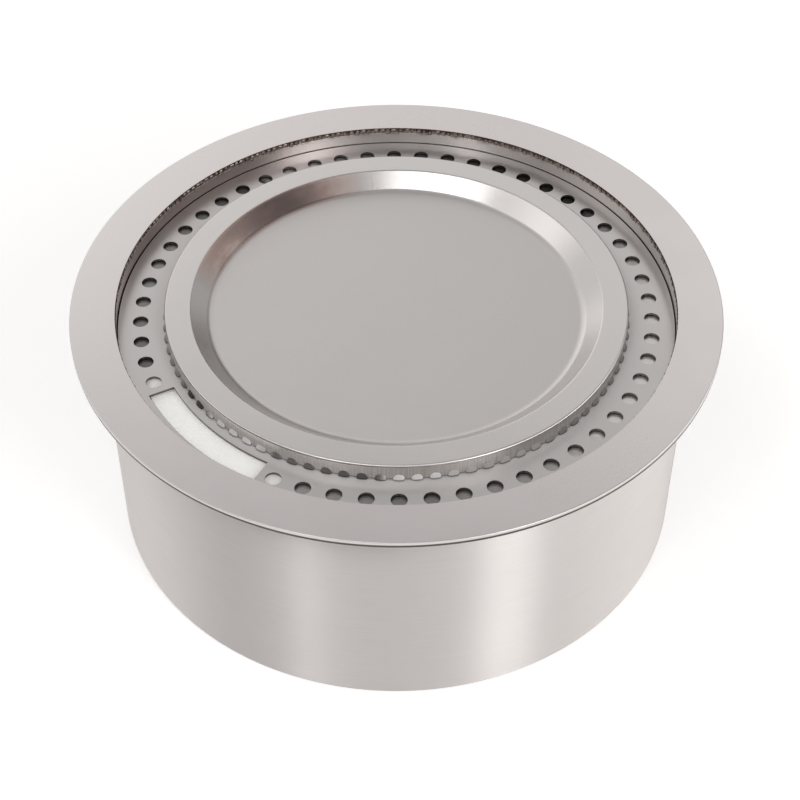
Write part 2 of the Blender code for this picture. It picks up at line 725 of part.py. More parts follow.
def build_base(drum):
    low = SHEET + FIT_GAP
    disc = bmesh.new()
    profile = [(0.0, low), (BASE_PLATE_RADIUS, low), (BASE_PLATE_RADIUS, BASE_TOP_Z), (0.0, BASE_TOP_Z)]
    add_turned(disc, profile, RING_SEGMENTS)
    base_steel = material("galvanised base steel", (0.50, 0.51, 0.52), 1.0, 0.50)
    plate = place("base_plate", disc, base_steel, parent=drum)
    vents = turns(VENT_COUNT, math.pi / VENT_COUNT)
    punch(plate, "vent cutter", VENT_CIRCLE_RADIUS, vents, BASE_TOP_Z, VENT_RADIUS, 16)
    punch(plate, "base screw hole cutter", BASE_SCREW_CIRCLE, corner_turns(), BASE_TOP_Z, SCREW_HOLE_RADIUS)
    sides = (-QUARTER, QUARTER)
    punch(plate, "bracket screw hole cutter", BRACKET_SCREW_X, sides, BASE_TOP_Z, SCREW_HOLE_RADIUS)
    screw_steel = material("base screw steel", (0.56, 0.55, 0.54), 1.0, 0.32)
    feet = [around(BASE_SCREW_CIRCLE, angle, BASE_TOP_Z + FIT_GAP) for angle in corner_turns()]
    screws("base_screw", 0.0027, screw_steel, feet, plate)

    foot = BASE_TOP_Z + FIT_GAP
    top, grip, outer = foot + SHEET, BRACKET_GRIP, BRACKET_GRIP + SHEET
    right_half = [
        (BRACKET_TIP, foot),
        (BRACKET_TIP, top),
        (outer, top),
        (outer, BRACKET_HEIGHT_Z),
        (grip, BRACKET_HEIGHT_Z),
        (grip, top),
    ]
    outline = right_half + [(-x, z) for x, z in reversed(right_half)]
    body = bmesh.new()
    front = -BRACKET_WIDTH / 2.0
    add_prism(body, [Vector((x, front, z)) for x, z in outline], Vector((0.0, BRACKET_WIDTH, 0.0)))
    bracket_steel = material("bracket steel", (0.52, 0.52, 0.52), 1.0, 0.46)
    bracket = place("jet_bracket", body, bracket_steel, False, plate)
    punch(bracket, "bracket hole cutter", BRACKET_SCREW_X, sides, top, SCREW_HOLE_RADIUS)
    feet = [around(BRACKET_SCREW_X, angle, top + FIT_GAP) for angle in sides]
    screws("bracket_screw", 0.0040, screw_steel, feet, bracket)


def build_burner():
    drum = build_drum()
    build_flange(drum)
    plate = build_air_plate(drum)
    build_cap()
    cup = build_cup(plate)
    build_tray(cup)
    build_drip_ring(cup)
    build_mixing_tube(cup)
    build_shutter()
    build_gas_inlet(build_jet())
    build_base(drum)


clear_scene()
build_burner()
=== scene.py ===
"""Looks of the drop-in ring burner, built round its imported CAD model: fine turned sheet metal with rolled
edges, punched holes, weld beads and heat tint, on a pale floor in soft studio light. Metres, +Z up."""

import json
import math
import random

import bmesh
import bpy
from mathutils import Matrix, Vector


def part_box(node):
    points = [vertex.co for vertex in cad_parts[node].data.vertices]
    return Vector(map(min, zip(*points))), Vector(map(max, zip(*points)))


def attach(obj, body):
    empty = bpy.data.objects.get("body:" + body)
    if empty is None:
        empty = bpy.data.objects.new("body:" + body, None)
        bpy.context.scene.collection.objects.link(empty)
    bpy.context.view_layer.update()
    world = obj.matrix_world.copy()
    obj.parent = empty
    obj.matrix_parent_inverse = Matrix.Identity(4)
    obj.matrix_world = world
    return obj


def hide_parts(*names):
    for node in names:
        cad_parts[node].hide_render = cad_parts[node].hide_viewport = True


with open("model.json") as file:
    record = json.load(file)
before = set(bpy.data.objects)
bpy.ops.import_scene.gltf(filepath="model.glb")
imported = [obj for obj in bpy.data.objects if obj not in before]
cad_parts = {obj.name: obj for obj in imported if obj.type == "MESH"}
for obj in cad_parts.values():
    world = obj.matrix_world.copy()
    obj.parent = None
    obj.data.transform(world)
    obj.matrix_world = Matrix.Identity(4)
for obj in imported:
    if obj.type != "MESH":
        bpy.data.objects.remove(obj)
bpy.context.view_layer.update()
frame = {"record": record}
RECORD = frame["record"]
BODY_OF = {node: body for body, nodes in RECORD["behaviour"]["bodies"].items() for node in nodes}
UP = Vector((0.0, 0.0, 1.0))
FRONT = Vector((0.0, -1.0, 0.0))
BACK = Vector((0.0, 1.0, 0.0))


def box_of(node):
    """The node's lowest corner, highest corner and middle."""
    low, high = (Vector(corner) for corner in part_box(node))
    return low, high, (low + high) / 2.0


def spots_of(prefix, count, z=None):
    """The middles of a numbered row of nodes, moved to a height if one is given."""
    middles = [box_of(f"{prefix}_{number}")[2] for number in range(1, count + 1)]
    return middles if z is None else [Vector((middle.x, middle.y, z)) for middle in middles]


def radius_of(node):
    return box_of(node)[1].x


def levels(node):
    """The node's lowest and highest height."""
    low, high = box_of(node)[:2]
    return low.z, high.z


# Driving sizes, read from the frame or named here
GAP = 0.0003
SHEET = 0.0012
THROUGH = 0.006
TOP_Z = levels("top_flange")[1]
FLANGE_UNDER_Z = levels("top_flange")[0]
FLANGE_RADIUS = radius_of("top_flange")
OPENING_RADIUS = radius_of("recess_collar") - SHEET
DRUM_RADIUS = radius_of("outer_drum")
DRUM_TOP_Z = levels("outer_drum")[1]
DRUM_LIP_RADIUS = 0.118
LEDGE_RADIUS = 0.124
PLATE_RADIUS = radius_of("air_plate")
PLATE_LOW_Z, PLATE_Z = levels("air_plate")
PLATE_BORE_RADIUS = 0.096
HOLE_PITCHES = 54
HOLE_CIRCLE = 0.1185
HOLE_RADIUS = 0.0036
SLOT_PITCH = -7
SLOT_HALF_ANGLE = math.radians(16.6)
SLOT_RADII = (0.1114, 0.1235)
SLOT_ANGLE = 2.0 * math.pi * SLOT_PITCH / HOLE_PITCHES
CAP_RADIUS = radius_of("burner_cap")
CAP_LOW_Z, CAP_TOP_Z = levels("burner_cap")
CAP_FOOT_Z = PLATE_Z + GAP
CAP_RIM_RADIUS = 0.0952
CAP_PANEL_RADIUS = 0.0868
CAP_PANEL_DEPTH = 0.0076
CAP_THICKNESS = 0.0015
LUG_BEND = 0.0024
PORT_COUNT = 86
PORT_RADIUS = 0.0021
PORT_STRAIGHT = 0.0007
HOOD_MARGIN = 0.0004
HOOD_HEIGHT = 0.0030
HOOD_PROUD = 0.0013
HOOD_SHEET = 0.0004
SCALLOP_COUNT = 256
SCALLOP_DROPS = (0.0018, 0.0022, 0.0022, 0.0026, 0.0030, 0.0036)
SEAM_ANGLE = math.radians(158.0)
CUP_RADIUS = radius_of("burner_cup")
CUP_LOW_Z, CUP_TOP_Z = levels("burner_cup")
TUBE_RADIUS = 0.014
TUBE_WALL = 0.0015
WINDOW_Z = (0.037, 0.048)
WINDOW_WIDTH = 0.011
TRAY_RADII = (0.1053, 0.1236)
TRAY_HALF_ANGLE = math.radians(23.6)
TRAY_WALL = 0.001
GAS_Z = box_of("supply_tube")[2].z
SCREW_CIRCLE = 0.0995
BASE_SCREW_CIRCLE = 0.126
SCREW_HOLE_RADIUS = 0.0023
VENT_COUNT = 6
VENT_CIRCLE = 0.088
VENT_RADIUS = 0.018
HEX_RATIO = math.cos(math.pi / 6.0)
FINE = 240


def around(radius, angle, z=0.0):
    """A point at this angle from the front, turning towards the right."""
    return Vector((radius * math.sin(angle), -radius * math.cos(angle), z))


def turns(count, first=0.0):
    return [first + 2.0 * math.pi * i / count for i in range(count)]


def four_corners(radius, z):
    """Four points on a circle, midway between the front, right, back and left."""
    return [around(radius, angle, z) for angle in turns(4, math.radians(45.0))]


# ---- mesh helpers


def rounded(corners, closed=True, steps=4):
    """A profile of (radius, z) with each (radius, z, fillet) corner turned into an arc."""
    out = []
    count = len(corners)
    for i, (radius, z, fillet) in enumerate(corners):
        here = Vector((radius, z))
        if not fillet or (not closed and i in (0, count - 1)):
            out.append(here)
            continue
        before = (Vector(corners[i - 1][:2]) - here).normalized()
        after = (Vector(corners[(i + 1) % count][:2]) - here).normalized()
        half = 0.5 * before.angle(after)
        centre = here + (before + after).normalized() * (fillet / math.sin(half))
        first = here + before * (fillet / math.tan(half)) - centre
        last = here + after * (fillet / math.tan(half)) - centre
        sweep = first.angle_signed(last)
        for step in range(steps + 1):
            out.append(centre + Matrix.Rotation(-sweep * step / steps, 2) @ first)
    return out


def settle(name, bm, material, angle=33.0, weighted=True):
    """Closes off a bmesh as a smooth-shaded object with crisp edges. Without a material it is a cutter."""
    bmesh.ops.recalc_face_normals(bm, faces=bm.faces)
    mesh = bpy.data.meshes.new(name)
    bm.to_mesh(mesh)
    bm.free()
    obj = bpy.data.objects.new(name, mesh)
    bpy.context.scene.collection.objects.link(obj)
    if material is None:
        obj.hide_render = True
        obj.display_type = "WIRE"
        return obj
    mesh.materials.append(material)
    mesh.polygons.foreach_set("use_smooth", [True] * len(mesh.polygons))
    mesh.set_sharp_from_angle(angle=math.radians(angle))
    if weighted:
        obj.modifiers.new("Even shading", "WEIGHTED_NORMAL").keep_sharp = True
    return obj


def add_lathe(bm, profile, segments, matrix=None, closed=True, share=None):
    """Turns a profile about +Z. Points on the axis become one vertex; share scales a radius by angle.

    The profile is a list of (radius, z), or a function that gives that list for an angle."""
    matrix = matrix or Matrix.Identity(4)
    on_axis = {}
    loops = []
    for angle in turns(segments):
        points = profile(angle) if callable(profile) else profile
        loop = []
        for j, (radius, z) in enumerate(points):
            if radius < 1e-7:
                if j not in on_axis:
                    on_axis[j] = bm.verts.new(matrix @ Vector((0.0, 0.0, z)))
                loop.append(on_axis[j])
                continue
            scale = share(angle, radius) if share else 1.0
            loop.append(bm.verts.new(matrix @ around(radius * scale, angle, z)))
        loops.append(loop)
    count = len(loops[0])
    last = count if closed else count - 1
    for i in range(segments):
        here, after = loops[i], loops[(i + 1) % segments]
        for j in range(last):
            k = (j + 1) % count
            corners = list(dict.fromkeys((here[j], after[j], after[k], here[k])))
            if len(corners) > 2:
                bm.faces.new(corners)


def turned(name, profile, material, segments, matrix=None, closed=True, share=None, weighted=True):
    """An object turned from a ready profile."""
    bm = bmesh.new()
    add_lathe(bm, profile, segments, matrix, closed, share)
    return settle(name, bm, material, weighted=weighted)


def lathe(name, corners, material, segments=FINE, closed=True, matrix=None, steps=4, share=None):
    """An object turned from a profile with (radius, z, fillet) corners."""
    return turned(name, rounded(corners, closed, steps), material, segments, matrix, closed, share)


def bridge(bm, low, high, closed=True):
    """Joins two rows of vertices with quads."""
    count = len(low)
    for i in range(count if closed else count - 1):
        j = (i + 1) % count
        bm.faces.new((low[i], low[j], high[j], high[i]))


def add_arc(bm, profile, start, end, steps):
    """Turns a closed profile of (radius, z) part of the way round, with flat ends."""
    loops = []
    for i in range(steps + 1):
        angle = start + (end - start) * i / steps
        loops.append([bm.verts.new(around(radius, angle, z)) for radius, z in profile])
    for here, after in zip(loops, loops[1:]):
        bridge(bm, here, after)
    bm.faces.new(loops[0])
    bm.faces.new(loops[-1])


def add_prism(bm, outline, offset):
    """Pushes a flat outline along the offset."""
    low = [bm.verts.new(point) for point in outline]
    high = [bm.verts.new(point + offset) for point in outline]
    bm.faces.new(low)
    bm.faces.new(high)
    bridge(bm, low, high)


def prism(name, outline, offset, material):
    bm = bmesh.new()
    add_prism(bm, outline, offset)
    return settle(name, bm, material)


def add_cylinder(bm, foot, axis, radius, sides=28):
    side = axis.orthogonal().normalized()
    other = axis.normalized().cross(side)
    outline = [foot + radius * (math.cos(turn) * side + math.sin(turn) * other) for turn in turns(sides, 0.1)]
    add_prism(bm, outline, axis)


def arc_band(inner, outer, middle, half_angle, z, steps=24):
    """The outline of part of a flat ring."""
    angles = [middle - half_angle + 2.0 * half_angle * i / steps for i in range(steps + 1)]
    return [around(outer, a, z) for a in angles] + [around(inner, a, z) for a in reversed(angles)]


def cut(obj, bm):
    """Takes the cutter's mesh out of the object for good."""
    cutter = settle("cutter", bm, None)
    kept = [m.name for m in obj.modifiers if m.type == "WEIGHTED_NORMAL"]
    for old in kept:
        obj.modifiers.remove(obj.modifiers[old])
    change = obj.modifiers.new("Cut", "BOOLEAN")
    change.operation = "DIFFERENCE"
    change.solver = "EXACT"
    change.object = cutter
    graph = bpy.context.evaluated_depsgraph_get()
    graph.update()
    done = bpy.data.meshes.new_from_object(obj.evaluated_get(graph), depsgraph=graph)
    obj.modifiers.clear()
    obj.data = done
    if kept:
        obj.modifiers.new("Even shading", "WEIGHTED_NORMAL").keep_sharp = True
    bpy.data.objects.remove(cutter)
    done.set_sharp_from_angle(angle=math.radians(33.0))


def drill(obj, feet, axis, radius, sides=28):
    """Bores one hole along the axis from each foot."""
    bm = bmesh.new()
    for foot in feet:
        add_cylinder(bm, foot, axis, radius, sides)
    cut(obj, bm)


def soften(obj, width, segments=2):
    """Breaks the sharp edges."""
    change = obj.modifiers.new("Broken edges", "BEVEL")
    change.width = width
    change.segments = segments
    change.limit_method = "ANGLE"
    change.angle_limit = math.radians(35.0)
    change.use_clamp_overlap = True
    if "Even shading" in obj.modifiers:
        obj.modifiers.move(len(obj.modifiers) - 1, 0)
    return obj


def clad(obj, material, chosen):
    """Gives one more material to the faces chosen by their radius, height and how far up they face."""
    obj.data.materials.append(material)
    index = len(obj.data.materials) - 1
    for face in obj.data.polygons:
        if chosen(math.hypot(face.center.x, face.center.y), face.center.z, face.normal.z):
            face.material_index = index


def along(direction, foot):
    """The matrix that sends +Z to the direction, with its origin at the foot."""
    return Matrix.Translation(foot) @ direction.to_track_quat("Z", "Y").to_matrix().to_4x4()


def stand_for(piece, node):
    """The piece takes the place of a CAD node, on its body."""
    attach(piece, BODY_OF[node])
    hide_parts(node)


def trim(piece, node):
    """An extra piece that goes with a CAD node without replacing it."""
    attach(piece, BODY_OF[node])


def stand_for_all(first, prefix, matrices):
    """Copies of one piece, each in the place of its own numbered node."""
    for number, matrix in enumerate(matrices, 1):
        piece = first
        if number > 1:
            piece = first.copy()
            piece.data = first.data.copy()
            bpy.context.scene.collection.objects.link(piece)
        piece.name = f"{prefix}_{number}_piece"
        stand_for(piece, f"{prefix}_{number}")
        piece.matrix_world = matrix


# ---- hexagons and threads


def hexagon(angle, flat):
    """The radius at this angle of a hexagon whose flats are this far from its centre."""
    sixth = math.pi / 3.0
    return flat / math.cos(angle % sixth - sixth / 2.0)


def hex_corners(angle, flat, low, high):
    """Profile points of a hexagon chamfered at both ends, from its low end to its high one."""
    edge = 0.985 * flat
    reach = hexagon(angle, flat)
    drop = 0.5 * (reach - edge)
    return [(edge, low), (reach, low + drop), (reach, high - drop), (edge, high)]


def thread(radius, start, end, pitch=0.0007, depth=0.00028):
    """Profile points of a thread's ridges between two heights, from start to end."""
    count = max(2, round(abs(end - start) / pitch))
    step = (end - start) / count
    points = []
    for i in range(count):
        points.append((radius - depth, start + step * i))
        points.append((radius, start + step * (i + 0.35)))
        points.append((radius, start + step * (i + 0.60)))
    points.append((radius - depth, end))
    return points


# ---- materials


class Nodes:
    """A node tree, with short ways to add and join nodes."""

    def __init__(self, tree):
        self.tree = tree

    def add(self, kind, inputs=None, **settings):
        made = self.tree.nodes.new(kind)
        for key, value in settings.items():
            setattr(made, key, value)
        for key, value in (inputs or {}).items():
            self.feed(made.inputs[key], value)
        return made

    def feed(self, socket, value):
        if isinstance(value, bpy.types.NodeSocket):
            self.tree.links.new(value, socket)
        else:
            socket.default_value = value

    def math(self, operation, *values):
        return self.add("ShaderNodeMath", dict(enumerate(values)), operation=operation).outputs[0]

    def times(self, first, second):
        return self.math("MULTIPLY", first, second)


class Shading(Nodes):
    """A material's nodes, which feed one shader. It knows the object's point by angle, radius and height."""

    def __init__(self, name):
        self.material = bpy.data.materials.new(name)
        self.material.use_nodes = True
        super().__init__(self.material.node_tree)
        self.shader = self.tree.nodes["Principled BSDF"]
        self.where = self.add("ShaderNodeTexCoord").outputs["Object"]
        x, y, self.height = self.add("ShaderNodeSeparateXYZ", {0: self.where}).outputs
        self.angle = self.math("ARCTAN2", x, self.times(y, -1.0))
        self.radius = self.math("SQRT", self.math("ADD", self.times(x, x), self.times(y, y)))

    def vector(self, x, y, z):
        return self.add("ShaderNodeCombineXYZ", {0: x, 1: y, 2: z}).outputs[0]

    def noise(self, vector, scale, detail=3.0, rough=0.55):
        inputs = {"Vector": vector, "Scale": scale, "Detail": detail, "Roughness": rough}
        return self.add("ShaderNodeTexNoise", inputs).outputs[0]

    def ramp(self, value, *stops):
        made = self.add("ShaderNodeValToRGB", {0: value})
        points = made.color_ramp.elements
        while len(points) < len(stops):
            points.new(0.5)
        for point, (position, color) in zip(points, stops):
            point.position = position
            point.color = color
        return made.outputs[0]

    def span(self, value, low, high, start=0.0, end=1.0):
        return self.add("ShaderNodeMapRange", {0: value, 1: low, 2: high, 3: start, 4: end}).outputs[0]

    def mix(self, share, first, second, blend="MIX"):
        inputs = {0: share, 6: first, 7: second}
        return self.add("ShaderNodeMix", inputs, data_type="RGBA", blend_type=blend).outputs[2]

    def bump(self, height, distance, strength=1.0):
        made = self.add("ShaderNodeBump", {"Height": height, "Distance": distance, "Strength": strength})
        self.tree.links.new(made.outputs[0], self.shader.inputs["Normal"])

    def set(self, **values):
        for key, value in values.items():
            self.feed(self.shader.inputs[key.replace("_", " ")], value)

    def source(self, key):
        """What feeds one of the shader's inputs now."""
        return self.shader.inputs[key].links[0].from_socket

    def shade(self, tone):
        """Multiplies the base colour by a tone."""
        self.set(Base_Color=self.mix(1.0, self.source("Base Color"), tone, "MULTIPLY"))

    def shade_round(self, turn, tones):
        """Shades by the share of a turn from the back, by way of the left: tones are (share, tone) pairs."""
        self.shade(self.ramp(turn, *[(share, color(tone, tone, tone)) for share, tone in tones]))

    def tarnish(self, scale, detail, least, most, tint):
        """Turns the base colour patchily towards a tint."""
        stain = self.noise(self.where, scale, detail, 0.65)
        dull = self.span(stain, least, 0.75, 0.0, most)
        self.set(Base_Color=self.mix(dull, self.source("Base Color"), tint))


def color(r, g, b):
    return (r, g, b, 1.0)


WHITE = color(1.0, 1.0, 1.0)


def metal(name, base, rough, grain="mill", swing=0.05, bump=0.5, anisotropic=0.0):
    """A bare metal with a fine grain.

    A mill grain is even, an upright one runs along the axis, a rolled one runs round the wall, and a turned
    one runs round a small turned part."""
    look = Shading(name)
    if grain == "upright":
        scaled = look.vector(look.times(look.angle, 24.0), look.times(look.height, 1.5), 0.0)
        lines = look.noise(scaled, 22.0)
    elif grain == "rolled":
        scaled = look.vector(look.times(look.angle, 4.0), look.times(look.height, 1800.0), 0.0)
        lines = look.noise(scaled, 1.0, 4.0, 0.7)
    elif grain == "turned":
        scaled = look.vector(look.times(look.radius, 60.0), look.times(look.height, 60.0), 0.0)
        lines = look.noise(scaled, 40.0)
    else:
        lines = look.noise(look.where, 2600.0, 2.0, 0.6)
    cloud = look.noise(look.where, 28.0, 4.0, 0.6)
    fine_tone = look.span(lines, 0.3, 0.7, 1.0 - swing, 1.0 + swing)
    broad_tone = look.span(cloud, 0.3, 0.7, -0.6 * swing, 0.6 * swing)
    broad_rough = look.span(cloud, 0.3, 0.7, rough - 0.02, rough + 0.02)
    fine_rough = look.span(lines, 0.3, 0.7, -0.02, 0.02)
    look.set(
        Base_Color=look.mix(1.0, color(*base), look.math("ADD", fine_tone, broad_tone), "MULTIPLY"),
        Metallic=1.0,
        Roughness=look.math("ADD", broad_rough, fine_rough),
        Anisotropic=anisotropic,
        Anisotropic_Rotation=0.25,
    )
    look.bump(lines, 0.00003 * bump, 0.6)
    return look


def drum_steel():
    return metal("brushed drum steel", (0.66, 0.63, 0.615), 0.50, "rolled", 0.04, 0.25, 1.0).material


def flange_steel():
    return metal("satin flange steel", (0.63, 0.60, 0.595), 0.30, "mill", 0.03, 0.25).material


def plate_steel():
    """Bright sheet, with a dull film from the flames close to the cap."""
    look = metal("bright plate steel", (0.54, 0.52, 0.515), 0.34, "mill", 0.02, 0.12)
    look.set(Metallic=look.span(look.radius, CAP_RADIUS + 0.002, CAP_RADIUS + 0.012, 0.10, 1.0))
    return look.material


# Painted shade: the walls of the punched holes and the slot are coloured near black, as if in shade.
def punched_edge_painted_shade():
    return metal("punched edge painted shade", (0.16, 0.15, 0.14), 0.40, "mill", 0.10, 0.5).material


def flange_edge_steel_painted_shade():
    """A pale edge with a thin dark line of painted shade along its foot."""
    look = metal("flange edge steel painted shade", (0.60, 0.575, 0.565), 0.32, "mill", 0.04, 0.4)
    # Painted shade: the edge darkens to a thin line below this height.
    pale = look.span(look.height, FLANGE_UNDER_Z + 0.0012, FLANGE_UNDER_Z + 0.0016)
    look.shade(look.mix(pale, color(0.16, 0.13, 0.12), WHITE))
    return look.material


def burnt_edge(look, strength):
    """Browns a metal near the top of the opening, deeper in some places than in others."""
    depth = look.math("SUBTRACT", TOP_Z, look.height)
    uneven = look.noise(look.vector(look.times(look.angle, 30.0), look.height, 0.0), 3.0, 4.0, 0.7)
    reach = look.span(uneven, 0.35, 0.70, 0.0006, 0.0042)
    burn = look.times(look.span(look.math("SUBTRACT", reach, depth), -0.0012, 0.0014), strength)
    brown, black = color(0.66, 0.55, 0.47), color(0.20, 0.15, 0.12)
    look.shade(look.ramp(burn, (0.0, WHITE), (0.5, brown), (1.0, black)))
    return look


def collar_steel():
    """Bright rolled sheet, browned towards the flange, and darker and browner on its left."""
    look = metal("rolled collar steel", (0.54, 0.515, 0.50), 0.20, "upright", 0.06, 0.5)
    left = look.span(look.math("COSINE", look.math("ADD", look.angle, math.radians(112.0))), 0.45, 0.85)
    look.shade(look.mix(left, WHITE, color(0.78, 0.70, 0.68)))
    return burnt_edge(look, 0.8).material


def cut_edge_steel():
    """The flange's inner face, browned by the cut."""
    look = metal("flange cut edge steel", (0.50, 0.47, 0.45), 0.34, "upright", 0.12, 1.5)
    return burnt_edge(look, 1.0).material


def cap_steel():
    """Satin panel and rim, a brighter slope between them, and a heat tint at the slope's back left."""
    look = metal("burner cap steel", (0.60, 0.58, 0.57), 0.44, "mill", 0.035, 0.9)
    on_slope = look.times(
        look.span(look.radius, CAP_PANEL_RADIUS - 0.001, CAP_PANEL_RADIUS + 0.001),
        look.span(look.radius, CAP_RIM_RADIUS + 0.001, CAP_RIM_RADIUS - 0.001),
    )
    rim = look.span(look.radius, CAP_RIM_RADIUS - 0.001, CAP_RIM_RADIUS + 0.001)
    streaks = look.vector(look.times(look.angle, 0.8), look.times(look.radius, 30.0), 0.0)
    patches = look.noise(streaks, 2.2, 4.0, 0.6)
    side = look.span(look.math("COSINE", look.math("ADD", look.angle, math.radians(134.0))), 0.80, 0.97)
    strength = look.times(look.times(side, look.span(patches, 0.20, 0.5)), on_slope)
    straw, bronze, dark = color(0.94, 0.82, 0.78), color(0.72, 0.56, 0.52), color(0.58, 0.46, 0.44)
    look.shade(look.ramp(strength, (0.0, WHITE), (0.35, straw), (0.7, bronze), (1.0, dark)))
    sheen = look.math("ADD", look.times(on_slope, -0.20), look.times(rim, -0.12))
    look.set(Roughness=look.math("ADD", look.source("Roughness"), sheen))
    return look.material


def skirt_steel_painted_shade():
    """Drawn steel with coarse upright marks, and painted shade darkening its foot along the plate."""
    look = metal("cap skirt steel painted shade", (0.56, 0.54, 0.52), 0.24, "upright", 0.08, 1.0)
    marks = look.vector(look.times(look.angle, 150.0), look.times(look.height, 60.0), 0.0)
    coarse = look.noise(marks, 1.0)
    # Painted shade: the foot darkens to a thin dark line along the plate.
    foot = look.span(look.height, CAP_FOOT_Z, CAP_FOOT_Z + 0.0006, 0.12, 1.0)
    tone = look.times(look.span(coarse, 0.35, 0.65, 0.84, 1.10), foot)
    look.shade(tone)
    look.bump(coarse, 0.00006, 0.6)
    return look.material


def hood_steel_painted_light():
    """Pressed near-white steel, painted with shade along its lower lip and light and shade by angle."""
    look = metal("port hood steel painted light", (0.92, 0.91, 0.90), 0.30, "mill", 0.03, 0.2)
    look.set(Metallic=0.35)
    # Painted shade along the lower lip.
    foot = look.span(look.height, CAP_FOOT_Z, CAP_FOOT_Z + 0.0006, 0.08, 1.0)
    # Painted light by angle: highlights at the front and left front, shade elsewhere; (share, tone) pairs.
    painted_shade_gaps = ((0.000, 0.35), (0.325, 0.30), (0.335, 0.05), (0.356, 0.06))
    left = ((0.364, 0.80), (0.405, 0.90), (0.418, 0.20), (0.450, 0.18), (0.487, 0.10))
    front = ((0.494, 0.95), (0.524, 0.85), (0.540, 0.55))
    right = ((0.590, 0.45), (0.615, 0.22), (1.000, 0.35))
    look.shade_round(look.span(look.angle, -math.pi, math.pi), painted_shade_gaps + left + front + right)
    look.shade(foot)
    return look.material


def ring_steel_painted_light():
    """Sheet with painted light and shade by angle: brightest at the right, darkest at the back right."""
    look = metal("drip ring steel", (0.66, 0.64, 0.63), 0.36, "mill", 0.10, 0.8)
    cloud = look.noise(look.where, 240.0, 3.0, 0.6)
    turn = look.span(look.angle, -math.pi, math.pi)
    turn = look.math("ADD", turn, look.span(cloud, 0.3, 0.7, -0.012, 0.012))
    # Painted light and shade by angle, as (share of a turn, tone) pairs; darkest at the back right.
    left = ((0.00, 0.38), (0.07, 1.00), (0.10, 0.14), (0.20, 0.42), (0.31, 0.20), (0.44, 0.55))
    right = ((0.52, 0.34), (0.60, 0.55), (0.64, 1.00), (0.74, 0.95), (0.82, 0.40))
    painted_shade_back_right = ((0.86, 0.05), (0.92, 0.07), (1.00, 0.34))
    look.shade_round(turn, left + right + painted_shade_back_right)
    return look.material


def dulled_steel(name, tone, rough):
    """Steel with a thin dull film from heat, which scatters part of the light."""
    look = metal(name, (tone, tone * 0.97, tone * 0.94), rough, "mill", 0.10, 0.8)
    film = look.noise(look.where, 90.0, 4.0, 0.6)
    look.set(Metallic=look.span(film, 0.35, 0.65, 0.55, 0.80))
    return look.material


def ceramic_fibre_painted_glow():
    look = Shading("ceramic fibre board")
    fibres = look.noise(look.where, 900.0, 5.0, 0.7)
    cloud = look.noise(look.where, 60.0, 3.0)
    tone = look.math("ADD", look.span(fibres, 0.3, 0.7, 0.94, 1.0), look.span(cloud, 0.3, 0.7, -0.03, 0.0))
    look.set(Base_Color=look.mix(1.0, color(0.98, 0.97, 0.95), tone, "MULTIPLY"), Roughness=0.95)
    # Painted light: a faint glow brightens the board in the shade of the recess.
    look.set(Emission_Color=color(1.0, 0.99, 0.97), Emission_Strength=0.10)
    look.bump(fibres, 0.00025, 0.8)
    return look.material


def brass(name, base=(0.74, 0.55, 0.26), rough=0.28):
    look = metal(name, base, rough, "turned", 0.06, 0.5)
    look.tarnish(140.0, 4.0, 0.45, 0.45, color(0.36, 0.24, 0.12))
    return look.material


def copper():
    look = metal("drawn copper", (0.78, 0.46, 0.32), 0.26, "turned", 0.05, 0.4)
    look.tarnish(60.0, 5.0, 0.42, 0.6, color(0.34, 0.18, 0.12))
    return look.material


def weld_steel():
    return metal("weld bead steel", (0.34, 0.29, 0.25), 0.38, "mill", 0.12, 1.5).material


def bead_steel_painted_shade():
    """Scallops with painted shade: a dark brown outline where each meets the wall, and a paler middle."""
    look = metal("opening bead steel painted shade", (0.50, 0.46, 0.43), 0.34, "mill", 0.10, 1.0)
    # Painted shade: darkest where a scallop meets the wall, lighter where it stands proud.
    middle = look.span(look.radius, OPENING_RADIUS - 0.00012, OPENING_RADIUS - 0.00030)
    outline, brown, pale = color(0.10, 0.07, 0.06), color(0.28, 0.22, 0.19), color(0.75, 0.70, 0.67)
    look.shade(look.ramp(middle, (0.0, outline), (0.6, brown), (1.0, pale)))
    return look.material


def galvanised():
    """Zinc-coated sheet with its crystal flakes."""
    look = Shading("galvanised base steel")
    cells = look.add("ShaderNodeTexVoronoi", {"Vector": look.where, "Scale": 160.0}).outputs["Color"]
    tone = look.add("ShaderNodeSeparateColor", {0: cells}).outputs[0]
    shade = look.span(tone, 0.0, 1.0, 0.82, 1.08)
    look.set(
        Base_Color=look.mix(1.0, color(0.56, 0.57, 0.58), shade, "MULTIPLY"),
        Metallic=1.0,
        Roughness=look.span(tone, 0.0, 1.0, 0.38, 0.56),
    )
    look.bump(look.noise(look.where, 500.0), 0.00004, 0.5)
    return look.material


def plain_steel(name, tone=0.50, rough=0.34):
    return metal(name, (tone, tone * 0.975, tone * 0.95), rough, "mill", 0.06, 0.6).material


# ---- drum, flange and collar


def make_drum():
    wall = DRUM_RADIUS - SHEET
    drum = lathe(
        "outer_drum_shell",
        [
            (DRUM_RADIUS, DRUM_TOP_Z, 0.0003), (DRUM_RADIUS, 0.0, 0.0010),
            (DRUM_LIP_RADIUS, 0.0, 0.0003), (DRUM_LIP_RADIUS, SHEET, 0.0003), (wall, SHEET, 0.0006),
            (wall, DRUM_TOP_Z, 0.0003),
        ],
        drum_steel(),
    )
    drill(drum, [Vector((0.0, DRUM_RADIUS - 0.010, GAS_Z))], 0.020 * BACK, 0.0065, sides=40)
    drill(drum, four_corners(BASE_SCREW_CIRCLE, -0.002), THROUGH * UP, SCREW_HOLE_RADIUS)
    stand_for(drum, "outer_drum")


